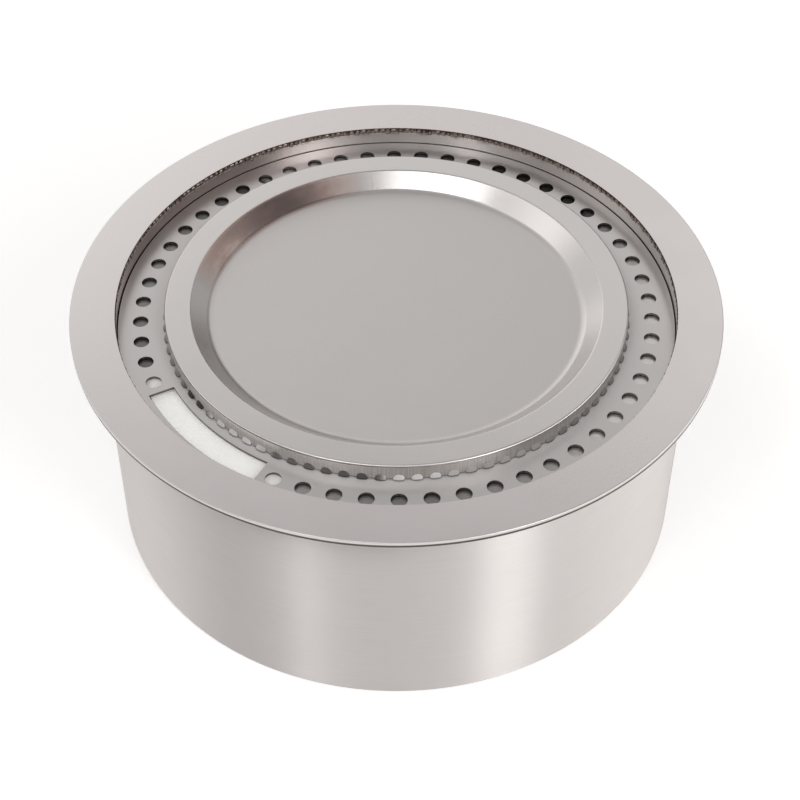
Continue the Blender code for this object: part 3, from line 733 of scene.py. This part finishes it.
def make_seam():
    """The drum's upright butt weld, a low uneven ridge sunk a little into the sheet."""
    seam = bmesh.new()
    outward = around(1.0, SEAM_ANGLE)
    side = outward.cross(UP)
    dice = random.Random(3)
    steps = 90
    rows = []
    for i in range(steps + 1):
        z = 0.003 + (DRUM_TOP_Z - 0.005) * i / steps
        proud = 0.00012 + 0.00005 * math.sin(2.2 * i) + dice.uniform(0.0, 0.00002)
        half = 0.0011 + dice.uniform(-0.0001, 0.0001)
        middle = outward * DRUM_RADIUS + z * UP
        across = (-1.0, -0.55, 0.0, 0.55, 1.0)
        row = [middle + side * half * s + outward * (proud * (1.0 - s * s) - 0.00008) for s in across]
        rows.append([seam.verts.new(point) for point in row + [middle - 0.0006 * outward]])
    for low, high in zip(rows, rows[1:]):
        bridge(seam, low, high)
    seam.faces.new(rows[0])
    seam.faces.new(rows[-1])
    look = plain_steel("seam weld steel", 0.48, 0.30)
    trim(settle("drum_seam_weld", seam, look, 60.0, False), "outer_drum")


def make_flange():
    """The top ring, with the shallow step that the drum and collar stand in."""
    step_radius, step_z = DRUM_RADIUS + GAP, FLANGE_UNDER_Z + GAP
    flange = lathe(
        "top_flange_ring",
        [
            (FLANGE_RADIUS, TOP_Z, 0.0005), (FLANGE_RADIUS, FLANGE_UNDER_Z, 0.0003),
            (step_radius, FLANGE_UNDER_Z, 0.0001), (step_radius, step_z, 0.0),
            (OPENING_RADIUS, step_z, 0.0001), (OPENING_RADIUS, TOP_Z, 0.0002),
        ],
        flange_steel(),
    )
    inner, outer = OPENING_RADIUS + 0.0002, FLANGE_RADIUS - 0.0002
    clad(flange, cut_edge_steel(), lambda reach, z, up: reach < inner and z < TOP_Z - 0.00005)
    # The outer edge gets a painted shade line along its foot.
    clad(flange, flange_edge_steel_painted_shade(), lambda reach, z, up: reach > outer)
    stand_for(flange, "top_flange")

    def ripple(angle, radius):
        proud = radius - DRUM_RADIUS
        return 1.0 + max(proud, 0.0) * 0.25 * math.sin(430.0 * angle) / radius

    # How far each corner of the fillet stands off the drum, and its height from the flange's underside
    fillet = (
        (-0.0002, 0.0001), (-0.0002, -0.0016), (0.0002, -0.0014),
        (0.0010, -0.0008), (0.0015, -0.0001), (0.0015, 0.0001),
    )
    weld = lathe(
        "flange_fillet_weld",
        [(DRUM_RADIUS + proud, FLANGE_UNDER_Z + rise, 0.0) for proud, rise in fillet],
        weld_steel(),
        segments=1720,
        share=ripple,
    )
    trim(weld, "top_flange")


def make_collar():
    low = levels("recess_collar")[0]
    collar = lathe(
        "recess_collar_wall",
        [
            (OPENING_RADIUS + SHEET, DRUM_TOP_Z, 0.0002), (OPENING_RADIUS + SHEET, low, 0.0012),
            (LEDGE_RADIUS, low, 0.0003), (LEDGE_RADIUS, low + SHEET, 0.0003),
            (OPENING_RADIUS, low + SHEET, 0.0004), (OPENING_RADIUS, DRUM_TOP_Z, 0.0002),
        ],
        collar_steel(),
    )
    stand_for(collar, "recess_collar")


def add_bead(bm, centre, outward, side, size):
    """A small flattened blob of weld: size is its half width, half height and how far it stands proud."""
    wide, tall, proud = size
    rings = []
    for level, shrink in ((0.0, 1.0), (0.6, 0.8), (1.0, 0.35)):
        ring = []
        for turn in turns(8):
            flat = side * (wide * shrink * math.cos(turn)) + UP * (tall * shrink * math.sin(turn))
            ring.append(bm.verts.new(centre + flat + outward * (proud * level)))
        rings.append(ring)
    bm.faces.new(rings[0])
    bm.faces.new(rings[-1])
    for low, high in zip(rings, rings[1:]):
        bridge(bm, low, high)


def make_weld_beads():
    """The uneven row of scallops that hangs from the edge of the flange's opening."""
    dice = random.Random(11)
    bm = bmesh.new()
    top = TOP_Z - 0.0002
    for angle in turns(SCALLOP_COUNT):
        angle += dice.uniform(-0.004, 0.004)
        inward = -around(1.0, angle)
        side = inward.cross(UP)
        drop = dice.choice(SCALLOP_DROPS)
        centre = around(OPENING_RADIUS + 0.0001, angle, top - 0.5 * drop)
        size = (dice.uniform(0.0012, 0.0018), 0.5 * drop, dice.uniform(0.0004, 0.0006))
        add_bead(bm, centre, inward, side, size)
    trim(settle("opening_scallops", bm, bead_steel_painted_shade(), 60.0, False), "recess_collar")


# ---- plate, cap and cup


def make_air_plate():
    plate = lathe(
        "air_plate_disc",
        [
            (PLATE_RADIUS, PLATE_Z, 0.0003), (PLATE_RADIUS, PLATE_LOW_Z, 0.0003),
            (PLATE_BORE_RADIUS, PLATE_LOW_Z, 0.0002), (PLATE_BORE_RADIUS, PLATE_Z, 0.0003),
        ],
        plate_steel(),
    )
    through = THROUGH * UP
    below = PLATE_Z - 0.004
    tools = bmesh.new()
    half_turn = HOLE_PITCHES // 2
    for index, angle in enumerate(turns(HOLE_PITCHES)):
        if abs((index - SLOT_PITCH + half_turn) % HOLE_PITCHES - half_turn) > 2:
            add_cylinder(tools, around(HOLE_CIRCLE, angle, below), through, HOLE_RADIUS, 32)
    add_prism(tools, arc_band(*SLOT_RADII, SLOT_ANGLE, SLOT_HALF_ANGLE, below), through)
    for foot in four_corners(SCREW_CIRCLE, below):
        add_cylinder(tools, foot, through, SCREW_HOLE_RADIUS)
    cut(plate, tools)
    rim = PLATE_RADIUS - 0.002
    # The walls of the holes and the slot get the painted shade.
    clad(plate, punched_edge_painted_shade(), lambda reach, z, up: abs(up) < 0.3 and CAP_RADIUS + 0.001 < reach < rim)
    stand_for(plate, "air_plate")


def make_cap():
    panel_z = CAP_TOP_Z - CAP_PANEL_DEPTH
    inner = CAP_RADIUS - CAP_THICKNESS
    under_z = CAP_TOP_Z - CAP_THICKNESS
    cap = lathe(
        "burner_cap_dish",
        [
            (0.0, CAP_LOW_Z, 0.0), (CAP_PANEL_RADIUS + 0.0006, CAP_LOW_Z, 0.0030),
            (CAP_RIM_RADIUS + 0.0006, under_z, 0.0008), (inner, under_z, 0.0008),
            (inner, CAP_FOOT_Z, 0.0002), (CAP_RADIUS, CAP_FOOT_Z, 0.0002),
            (CAP_RADIUS, CAP_TOP_Z, 0.0009), (CAP_RIM_RADIUS, CAP_TOP_Z, 0.0012),
            (CAP_PANEL_RADIUS, panel_z, 0.0055), (0.0, panel_z, 0.0),
        ],
        cap_steel(),
        segments=PORT_COUNT * 3,
        closed=False,
        steps=6,
    )
    tools = bmesh.new()
    for angle in turns(PORT_COUNT):
        outward = around(1.0, angle)
        side = outward.cross(UP)
        foot = outward * (inner - 0.002) + CAP_FOOT_Z * UP
        top = foot + PORT_STRAIGHT * UP
        below = foot - 0.001 * UP
        outline = [below + PORT_RADIUS * side]
        for step in range(11):
            turn = math.pi * step / 10.0
            outline.append(top + PORT_RADIUS * (math.cos(turn) * side + math.sin(turn) * UP))
        outline.append(below - PORT_RADIUS * side)
        add_prism(tools, outline, THROUGH * outward)
    cut(cap, tools)
    edge_z = CAP_TOP_Z - 0.0007
    clad(cap, skirt_steel_painted_shade(), lambda reach, z, up: reach > CAP_RADIUS - 0.0003 and z < edge_z)
    stand_for(cap, "burner_cap")

    hoods = bmesh.new()
    for angle in turns(PORT_COUNT):
        add_hood(hoods, around(CAP_RADIUS - 0.0002, angle, CAP_FOOT_Z), around(1.0, angle))
    trim(settle("cap_port_hoods", hoods, hood_steel_painted_light(), 50.0, False), "burner_cap")


def add_hood(bm, foot, outward):
    """A pressed-out half-round hood over one flame port, open below and behind."""
    side = outward.cross(UP)
    grids = []
    for inset in (0.0, HOOD_SHEET):
        half, tall, proud = PORT_RADIUS + HOOD_MARGIN - inset, HOOD_HEIGHT - inset, HOOD_PROUD - inset
        grid = []
        for i in range(6):
            rise = 0.5 * math.pi * i / 6
            row = []
            for j in range(11):
                sweep = math.pi * j / 10
                flat = side * (half * math.cos(sweep) * math.cos(rise))
                out = outward * (proud * math.sqrt(math.sin(sweep)) * (1.0 - math.sin(rise)))
                row.append(bm.verts.new(foot + flat + out + UP * (tall * math.sin(rise))))
            grid.append(row)
        grids.append((grid, bm.verts.new(foot + tall * UP)))
    for grid, crown in grids:
        for low, high in zip(grid, grid[1:]):
            bridge(bm, low, high, False)
        for left, right in zip(grid[-1], grid[-1][1:]):
            bm.faces.new((left, right, crown))
    rims = []
    for grid, crown in grids:
        left = [row[0] for row in grid]
        right = [row[-1] for row in reversed(grid)]
        rims.append(left + [crown] + right + grid[0][-2:0:-1])
    bridge(bm, *rims)


def make_lugs():
    """Bent tabs with rounded bends and broken edges."""
    low, high = box_of("cap_lug_1")[:2]
    inner, outer = -high.y, -low.y
    profile = rounded(
        [
            (inner, low.z, 0.0), (inner + SHEET, low.z, 0.0),
            (inner + SHEET, high.z - LUG_BEND - 0.4 * SHEET, 0.0010),
            (inner + LUG_BEND + 0.4 * SHEET, high.z - SHEET, 0.0010), (outer, high.z - SHEET, 0.0),
            (outer, high.z, 0.0), (inner + LUG_BEND, high.z, 0.0014),
            (inner, high.z - LUG_BEND, 0.0014),
        ],
        steps=6,
    )
    outline = [Vector((low.x, -radius, z)) for radius, z in profile]
    width = Vector((high.x - low.x, 0.0, 0.0))
    lug = soften(prism("cap_lug", outline, width, plain_steel("cap lug steel", 0.52, 0.36)), 0.00025)
    stand_for_all(lug, "cap_lug", [Matrix.Rotation(angle, 4, "Z") for angle in turns(3)])


def make_cup():
    wall = CUP_RADIUS - SHEET
    bore = TUBE_RADIUS + GAP
    cup = lathe(
        "burner_cup_shell",
        [
            (PLATE_BORE_RADIUS, CUP_TOP_Z, 0.0002), (CUP_RADIUS, CUP_TOP_Z, 0.0004),
            (CUP_RADIUS, CUP_LOW_Z, 0.0040), (bore, CUP_LOW_Z, 0.0002),
            (bore, CUP_LOW_Z + SHEET, 0.0002), (wall, CUP_LOW_Z + SHEET, 0.0030),
            (wall, CUP_TOP_Z - SHEET, 0.0006), (PLATE_BORE_RADIUS, CUP_TOP_Z - SHEET, 0.0002),
        ],
        dulled_steel("burner cup steel", 0.56, 0.42),
    )
    drill(cup, four_corners(SCREW_CIRCLE, CUP_TOP_Z - 0.004), 0.008 * UP, SCREW_HOLE_RADIUS)
    bore_rivet_holes(cup, wall - 0.003)
    stand_for(cup, "burner_cup")


def rivet_axes():
    """The height and the outward direction of each of the tray's rivets."""
    return [(spot.z, Vector((spot.x, spot.y, 0.0)).normalized()) for spot in spots_of("tray_rivet", 2)]


def bore_rivet_holes(obj, radius):
    """Bores outwards for the tray's rivets, from this radius."""
    bm = bmesh.new()
    for z, outward in rivet_axes():
        add_cylinder(bm, radius * outward + z * UP, 0.008 * outward, 0.0018)
    cut(obj, bm)


# ---- ignition tray


def make_tray():
    low, high = levels("ignition_tray")
    inner, outer = TRAY_RADII
    look = plain_steel("ignition tray steel", 0.54, 0.36)
    outline = arc_band(inner, outer, SLOT_ANGLE, TRAY_HALF_ANGLE, low, 40)
    tray = prism("ignition_tray_pan", outline, (high - low) * UP, look)
    hollow = bmesh.new()
    half = TRAY_HALF_ANGLE - TRAY_WALL / inner
    outline = arc_band(inner + TRAY_WALL, outer - TRAY_WALL, SLOT_ANGLE, half, low + TRAY_WALL, 40)
    add_prism(hollow, outline, (high - low) * UP)
    cut(tray, hollow)
    bore_rivet_holes(tray, inner - 0.003)
    stand_for(soften(tray, 0.00025), "ignition_tray")

    back = CUP_RADIUS - SHEET - GAP - inner
    grip = TRAY_WALL + GAP
    dome = [(0.0, grip + 0.0010), (0.0011, grip + 0.0009), (0.0020, grip + 0.0006), (0.00285, grip)]
    head = [(0.0030, back), (0.0024, back - 0.0008), (0.0012, back - 0.0012), (0.0, back - 0.0012)]
    profile = dome + [(0.0015, grip), (0.0015, back)] + head
    rivet = turned("tray_rivet", profile, plain_steel("rivet steel", 0.52, 0.32), 24, closed=False)
    spots = [along(outward, inner * outward + z * UP) for z, outward in rivet_axes()]
    stand_for_all(rivet, "tray_rivet", spots)


def make_drip_ring():
    """The angle-section ring under the air holes, open at the tray, with a rounded bend."""
    low, high = levels("drip_ring")
    inner, outer, sheet = CUP_RADIUS + GAP, radius_of("drip_ring"), 0.0010
    profile = rounded(
        [
            (inner, high, 0.0015), (outer, high, 0.0003), (outer, high - sheet, 0.0003),
            (inner + sheet, high - sheet, 0.0005), (inner + sheet, low, 0.0), (inner, low, 0.0),
        ]
    )
    end = TRAY_HALF_ANGLE + math.radians(0.6)
    bm = bmesh.new()
    add_arc(bm, profile, SLOT_ANGLE + end, SLOT_ANGLE + 2.0 * math.pi - end, 208)
    stand_for(settle("drip_ring_angle", bm, ring_steel_painted_light()), "drip_ring")


def make_board():
    """The ceramic board under the slot, with a slightly uneven top."""
    low, high = levels("ceramic_board")
    dice = random.Random(5)
    inner, outer = 0.1082, TRAY_RADII[1] - TRAY_WALL - GAP
    half = math.radians(22.4)
    across, lengthwise = 10, 60
    bm = bmesh.new()
    grid = []
    for i in range(lengthwise + 1):
        angle = SLOT_ANGLE - half + 2.0 * half * i / lengthwise
        radii = [inner + (outer - inner) * j / across for j in range(across + 1)]
        grid.append([bm.verts.new(around(r, angle, high - dice.uniform(0.0, 0.00025))) for r in radii])
    under = [[bm.verts.new((v.co.x, v.co.y, low)) for v in row] for row in grid]
    for sheet in (grid, under):
        for low_row, high_row in zip(sheet, sheet[1:]):
            bridge(bm, low_row, high_row, False)
    for end in (0, -1):
        bridge(bm, grid[end], under[end], False)
        bridge(bm, [row[end] for row in grid], [row[end] for row in under], False)
    stand_for(settle("ceramic_board_block", bm, ceramic_fibre_painted_glow(), 50.0, False), "ceramic_board")


# ---- screws and nuts


def make_screws(prefix, count, material):
    """Pan-head screws with a cross recess and a threaded shank."""
    low, high, middle = box_of(f"{prefix}_1")
    head_radius = high.x - middle.x
    head_height = 0.0026
    seat = high.z - head_height
    recess_depth, arm, half_width = 0.0014, 0.0021, 0.00045
    profile = [(0.0, low.z - seat), (0.0014, low.z - seat)]
    profile += thread(0.0020, low.z - seat + 0.0004, -0.0004)
    profile += [(0.0018, 0.0), (head_radius - 0.0002, 0.0), (head_radius, 0.0003)]
    for step in range(1, 9):
        turn = 0.5 * math.pi * step / 8
        reach = head_radius * (0.35 + 0.65 * math.cos(turn)) if step < 8 else 0.0
        profile.append((reach, 0.0006 + (head_height - 0.0006) * math.sin(turn)))
    screw = turned(prefix, profile, material, 36, closed=False)
    foot = (head_height - recess_depth) * UP
    for x, y in ((arm, half_width), (half_width, arm)):
        slot = bmesh.new()
        outline = ((-x, -y), (x, -y), (x, y), (-x, y))
        add_prism(slot, [foot + Vector((a, b, 0.0)) for a, b in outline], 0.003 * UP)
        cut(screw, slot)
    spots = []
    for number, spot in enumerate(spots_of(prefix, count, seat), 1):
        spots.append(Matrix.Translation(spot) @ Matrix.Rotation(0.7 * number, 4, "Z"))
    stand_for_all(screw, prefix, spots)


def nut_piece(name, flat, low, high, bore, chamfer, material, matrix=None):
    """A hexagon nut between two heights, chamfered at both ends of its bore."""

    def profile(angle):
        mouth = bore + chamfer
        hollow = [(mouth, high), (bore, high - chamfer), (bore, low + chamfer)]
        return [(mouth, low)] + hex_corners(angle, flat, low, high) + hollow

    return turned(name, profile, material, 72, matrix, weighted=False)


def make_plate_nuts():
    low, high = levels("plate_nut_1")
    look = plain_steel("plate nut steel", 0.50, 0.32)
    nut = nut_piece("plate_nut", 0.0040 * HEX_RATIO, 0.0, high - low, 0.0023, 0.0003, look)
    stand_for_all(nut, "plate_nut", [Matrix.Translation(spot) for spot in spots_of("plate_nut", 4, low)])


# ---- mixing tube, shutter and gas train


def window_tools():
    """Four upright windows with rounded corners, cut from inside the tube outwards."""
    low, high = WINDOW_Z
    half, fillet = WINDOW_WIDTH / 2.0, 0.0015
    window = [(-half, low, fillet), (half, low, fillet), (half, high, fillet), (-half, high, fillet)]
    outline = rounded(window)
    bm = bmesh.new()
    for angle in turns(4):
        outward = around(1.0, angle)
        side = outward.cross(UP)
        add_prism(bm, [0.0095 * outward + x * side + z * UP for x, z in outline], 0.0105 * outward)
    return bm


def make_mixing_tube():
    low, high = levels("mixing_tube")
    bore, floor = TUBE_RADIUS - TUBE_WALL, CUP_LOW_Z - GAP
    collar_radius, foot_radius = radius_of("mixing_tube"), 0.0172
    tube = lathe(
        "mixing_tube_body",
        [
            (TUBE_RADIUS, high, 0.0004), (TUBE_RADIUS, floor, 0.0), (collar_radius, floor, 0.0003),
            (collar_radius, floor - 0.0020, 0.0005), (TUBE_RADIUS, floor - 0.0020, 0.0004),
            (TUBE_RADIUS, low + 0.0035, 0.0004), (foot_radius, low + 0.0035, 0.0008),
            (foot_radius, low, 0.0008), (0.0040, low, 0.0003), (0.0040, low + TUBE_WALL, 0.0003),
            (bore, low + TUBE_WALL, 0.0006), (bore, high, 0.0004),
        ],
        plain_steel("mixing tube steel", 0.46, 0.40),
        segments=96,
    )
    cut(tube, window_tools())
    stand_for(tube, "mixing_tube")


def make_shutter():
    low, high = levels("air_shutter")
    inner = TUBE_RADIUS + GAP
    outer = inner + SHEET
    shutter = lathe(
        "air_shutter_sleeve",
        [(outer, high, 0.0004), (outer, low, 0.0004), (inner, low, 0.0003), (inner, high, 0.0003)],
        plain_steel("air shutter steel", 0.58, 0.28),
        segments=96,
    )
    cut(shutter, window_tools())
    screw_low, screw_high, screw_middle = box_of("shutter_screw")
    drill(shutter, [0.010 * FRONT + screw_middle.z * UP], 0.012 * FRONT, 0.0019)
    stand_for(shutter, "air_shutter")

    tip, start = -screw_low.y, -screw_high.y
    seat = outer + GAP
    head = 0.0048

    def knurl(angle, radius):
        return 1.0 - 0.035 * (0.5 + 0.5 * math.cos(28.0 * angle)) if radius > 0.96 * head else 1.0

    profile = [(0.0, start), (0.0013, start)] + thread(0.0015, start, seat, 0.0005, 0.0002)
    profile += [(0.0030, seat), (0.0030, seat + 0.0016)]
    profile += [(head - 0.0004, seat + 0.0019), (head, seat + 0.0024)]
    profile += [(head, tip - 0.0008), (head - 0.0005, tip - 0.0002)]
    profile += [(0.0030, tip), (0.0026, tip - 0.0004), (0.0, tip - 0.0004)]
    to_front = along(FRONT, screw_middle.z * UP)
    knob = turned("shutter_screw_knob", profile, brass("thumbscrew brass"), 168, to_front, False, knurl)
    stand_for(knob, "shutter_screw")


def make_elbow():
    """A cast brass block with soft edges, bored from the back and from the top."""
    low, high = box_of("jet_elbow")[:2]
    half, front, rear = high.x, low.y, high.y
    plan = [(-half, front, 0.0025), (half, front, 0.0025), (half, rear, 0.0012), (-half, rear, 0.0012)]
    outline = [Vector((x, y, low.z)) for x, y in rounded(plan, steps=6)]
    look = brass("cast elbow brass", (0.68, 0.49, 0.23), 0.42)
    elbow = prism("jet_elbow_casting", outline, (high.z - low.z) * UP, look)
    drill(elbow, [GAS_Z * UP], 0.020 * BACK, 0.0043, sides=40)
    drill(elbow, [(GAS_Z - 0.001) * UP], 0.013 * UP, 0.0036, sides=40)
    stand_for(soften(elbow, 0.0005, 3), "jet_elbow")


def make_jet():
    low, high = levels("gas_jet")
    seat = levels("jet_elbow")[1] + GAP
    shoulder = 0.0285
    flat = 0.0056 * HEX_RATIO
    start = thread(0.0033, low, seat, 0.0006, 0.00025)

    def profile(angle):
        nose = [(0.0032, shoulder), (0.0032, 0.0328), (0.0030, 0.0332), (0.0017, high), (0.0010, high)]
        return [(0.0010, low)] + start + hex_corners(angle, flat, seat, shoulder) + nose

    jet = turned("gas_jet_body", profile, brass("jet brass", (0.78, 0.60, 0.30), 0.24), 72, weighted=False)
    stand_for(jet, "gas_jet")


def make_supply_tube():
    low, high = box_of("supply_tube")[:2]
    outer, inner = 0.0040, 0.0030
    tube = lathe(
        "supply_tube_copper",
        [(outer, low.y, 0.0002), (outer, high.y, 0.0002), (inner, high.y, 0.0002), (inner, low.y, 0.0002)],
        copper(),
        segments=48,
        matrix=along(BACK, GAS_Z * UP),
    )
    stand_for(tube, "supply_tube")


def make_inlet():
    """The turned fitting through the drum's back, with its hexagon and hose thread, and the lock nut."""
    low, high = box_of("inlet_fitting")[:2]
    to_back = along(BACK, GAS_Z * UP)
    flat = 0.0098 * HEX_RATIO
    seat, hex_end, tip = DRUM_RADIUS + 0.0004, 0.1418, high.y
    body = thread(0.0060, low.y, seat, 0.0008, 0.0003)
    hose = thread(0.0062, hex_end + 0.0006, 0.1470, 0.0008, 0.0003)

    def profile(angle):
        mouth = [(0.0054, tip), (0.0034, tip), (0.0030, tip - 0.0006), (0.0030, 0.1300), (0.0043, 0.1300)]
        return body + hex_corners(angle, flat, seat, hex_end) + hose + mouth + [(0.0043, low.y)]

    fitting = turned("inlet_fitting_body", profile, brass("inlet brass"), 72, to_back, weighted=False)
    stand_for(fitting, "inlet_fitting")

    nut_low, nut_high = box_of("inlet_nut")[:2]
    look = brass("lock nut brass", (0.68, 0.50, 0.24), 0.34)
    nut = nut_piece("inlet_nut_body", flat, nut_low.y, nut_high.y, 0.0063, 0.0004, look, to_back)
    stand_for(nut, "inlet_nut")


# ---- base


def make_base():
    low, high = levels("base_plate")
    edge = radius_of("base_plate")
    plate = lathe(
        "base_plate_disc",
        [(0.0, low, 0.0), (edge, low, 0.0003), (edge, high, 0.0003), (0.0, high, 0.0)],
        galvanised(),
        closed=False,
    )
    tools = bmesh.new()
    below = low - 0.002
    for angle in turns(VENT_COUNT, math.pi / VENT_COUNT):
        add_cylinder(tools, around(VENT_CIRCLE, angle, below), THROUGH * UP, VENT_RADIUS, 64)
    for foot in four_corners(BASE_SCREW_CIRCLE, below) + spots_of("bracket_screw", 2, below):
        add_cylinder(tools, foot, THROUGH * UP, SCREW_HOLE_RADIUS)
    cut(plate, tools)
    stand_for(soften(plate, 0.0002, 1), "base_plate")


def make_bracket():
    """The U-shaped bracket that grips the elbow, with rounded bends."""
    low, high = box_of("jet_bracket")[:2]
    tip, top = high.x, low.z + SHEET
    grip = 0.0093
    outer = grip + SHEET
    right = [
        (tip, low.z, 0.0), (tip, top, 0.0), (outer, top, 0.0006), (outer, high.z, 0.0),
        (grip, high.z, 0.0), (grip, top, 0.0006),
    ]
    left = [(-x, z, fillet) for x, z, fillet in reversed(right)]
    outline = [Vector((x, low.y, z)) for x, z in rounded(right + left, steps=5)]
    look = plain_steel("bracket steel", 0.52, 0.42)
    bracket = prism("jet_bracket_strap", outline, (high.y - low.y) * BACK, look)
    drill(bracket, spots_of("bracket_screw", 2, low.z - 0.002), THROUGH * UP, SCREW_HOLE_RADIUS)
    stand_for(soften(bracket, 0.00025), "jet_bracket")


# ---- stage


def make_stage():
    """A plain pale floor, just under the drum and faintly lit so that it fades into the backdrop."""
    bm = bmesh.new()
    bmesh.ops.create_grid(bm, x_segments=1, y_segments=1, size=4.0)
    look = Shading("pale floor")
    look.set(Base_Color=color(0.92, 0.92, 0.92), Roughness=0.9)
    look.set(Emission_Color=color(1.0, 1.0, 1.0), Emission_Strength=0.26)
    floor = settle("floor", bm, look.material, weighted=False)
    floor.location.z = -0.0002


def make_world():
    """A studio's even glow, with soft brighter and darker patches of its walls."""
    world = bpy.data.worlds.new("studio")
    bpy.context.scene.world = world
    world.use_nodes = True
    nodes = Nodes(world.node_tree)
    back = nodes.tree.nodes["Background"]
    back.inputs["Color"].default_value = color(1.0, 0.985, 0.975)
    direction = nodes.add("ShaderNodeTexCoord").outputs["Generated"]

    def glow(centre, stretch, inner, outer, level):
        """A soft patch of the room's walls round one direction."""
        away = nodes.add("ShaderNodeVectorMath", {0: direction, 1: centre}, operation="SUBTRACT").outputs[0]
        away = nodes.add("ShaderNodeVectorMath", {0: away, 1: stretch}, operation="MULTIPLY").outputs[0]
        reach = nodes.add("ShaderNodeVectorMath", {0: away}, operation="LENGTH").outputs["Value"]
        inputs = {0: reach, 1: inner, 2: outer, 3: level, 4: 0.0}
        return nodes.add("ShaderNodeMapRange", inputs, interpolation_type="SMOOTHSTEP").outputs[0]

    total = 0.45
    # Each patch: its direction, how its reach shrinks by axis, where it starts to fade and ends, its strength
    patches = (
        ((0.0, 0.78, 0.57), (1.0, 1.0, 2.2), 0.20, 0.52, 0.55),
        ((0.27, 0.70, 0.66), (1.0, 1.0, 1.4), 0.06, 0.24, 0.72),
        ((-0.27, 0.75, 0.62), (1.0, 1.0, 1.4), 0.06, 0.22, 0.44),
        ((-0.75, 0.45, 0.35), (1.0, 1.0, 1.0), 0.30, 0.75, 0.42),
        ((-0.29, 0.93, 0.20), (1.0, 1.0, 1.0), 0.22, 0.48, 0.64),
        ((-0.72, 0.03, 0.70), (1.0, 1.0, 1.0), 0.15, 0.50, 0.75),
        ((0.97, -0.12, 0.10), (1.0, 1.0, 1.6), 0.45, 0.78, 2.10),
        ((0.64, 0.76, 0.12), (1.0, 1.0, 1.0), 0.08, 0.28, 0.12),
        ((0.20, -0.96, 0.15), (1.0, 1.0, 0.7), 0.10, 0.24, 1.00),
        ((0.45, -0.70, 0.50), (1.6, 1.6, 0.7), 0.20, 0.50, 0.60),
        ((0.30, 0.92, 0.22), (1.0, 1.0, 1.0), 0.15, 0.42, -0.25),
        ((-0.72, -0.66, 0.10), (1.0, 1.0, 0.6), 0.20, 0.62, -0.24),
        ((0.66, -0.15, 0.72), (1.0, 1.0, 1.0), 0.20, 0.50, -0.25),
    )
    for patch in patches:
        total = nodes.math("ADD", total, glow(*patch))
    nodes.feed(back.inputs["Strength"], total)


def area_light(name, place, target, size, radiance):
    """A flat rectangular light, set by how bright it looks."""
    light = bpy.data.lights.new(name, "AREA")
    light.shape = "RECTANGLE"
    light.size, light.size_y = size
    light.energy = math.pi * radiance * size[0] * size[1]
    obj = bpy.data.objects.new(name, light)
    bpy.context.scene.collection.objects.link(obj)
    obj.location = place
    obj.rotation_euler = (Vector(target) - Vector(place)).to_track_quat("-Z", "Y").to_euler()


def make_lights():
    middle = (0.0, 0.0, 0.08)
    area_light("left strip", around(1.5, math.radians(-32.0), 1.25), middle, (0.16, 1.2), 4.3)
    area_light("right softbox", around(1.5, math.radians(38.0), 1.00), middle, (0.55, 1.1), 3.6)
    area_light("overhead softbox", (-0.45, -0.85, 1.55), middle, (1.3, 0.50), 2.5)


def make_camera():
    """Set to the fitted view: 41.6 degrees above the horizon, 5.45 flange radii away."""
    swing = math.radians(-0.56)
    data = bpy.data.cameras.new("camera")
    data.lens = 79.425
    data.sensor_width = 36.0
    data.shift_x = 0.0045
    camera = bpy.data.objects.new("camera", data)
    bpy.context.scene.collection.objects.link(camera)
    place = Vector((0.0, -4.074 * FLANGE_RADIUS, CAP_TOP_Z + 3.618 * FLANGE_RADIUS))
    camera.location = Matrix.Rotation(swing, 4, "Z") @ place
    camera.rotation_euler = (math.radians(45.04), 0.0, swing)
    bpy.context.scene.camera = camera
    bpy.context.scene.view_settings.view_transform = "Standard"


make_camera()
make_stage()
make_world()
make_lights()
make_drum()
make_seam()
make_flange()
make_collar()
make_weld_beads()
make_air_plate()
make_cap()
make_lugs()
make_cup()
make_tray()
make_drip_ring()
make_board()
make_screws("plate_screw", 4, plain_steel("plate screw steel", 0.56, 0.28))
make_screws("base_screw", 4, plain_steel("base screw steel", 0.56, 0.30))
make_screws("bracket_screw", 2, plain_steel("bracket screw steel", 0.54, 0.32))
make_plate_nuts()
make_mixing_tube()
make_shutter()
make_elbow()
make_jet()
make_supply_tube()
make_inlet()
make_base()
make_bracket()
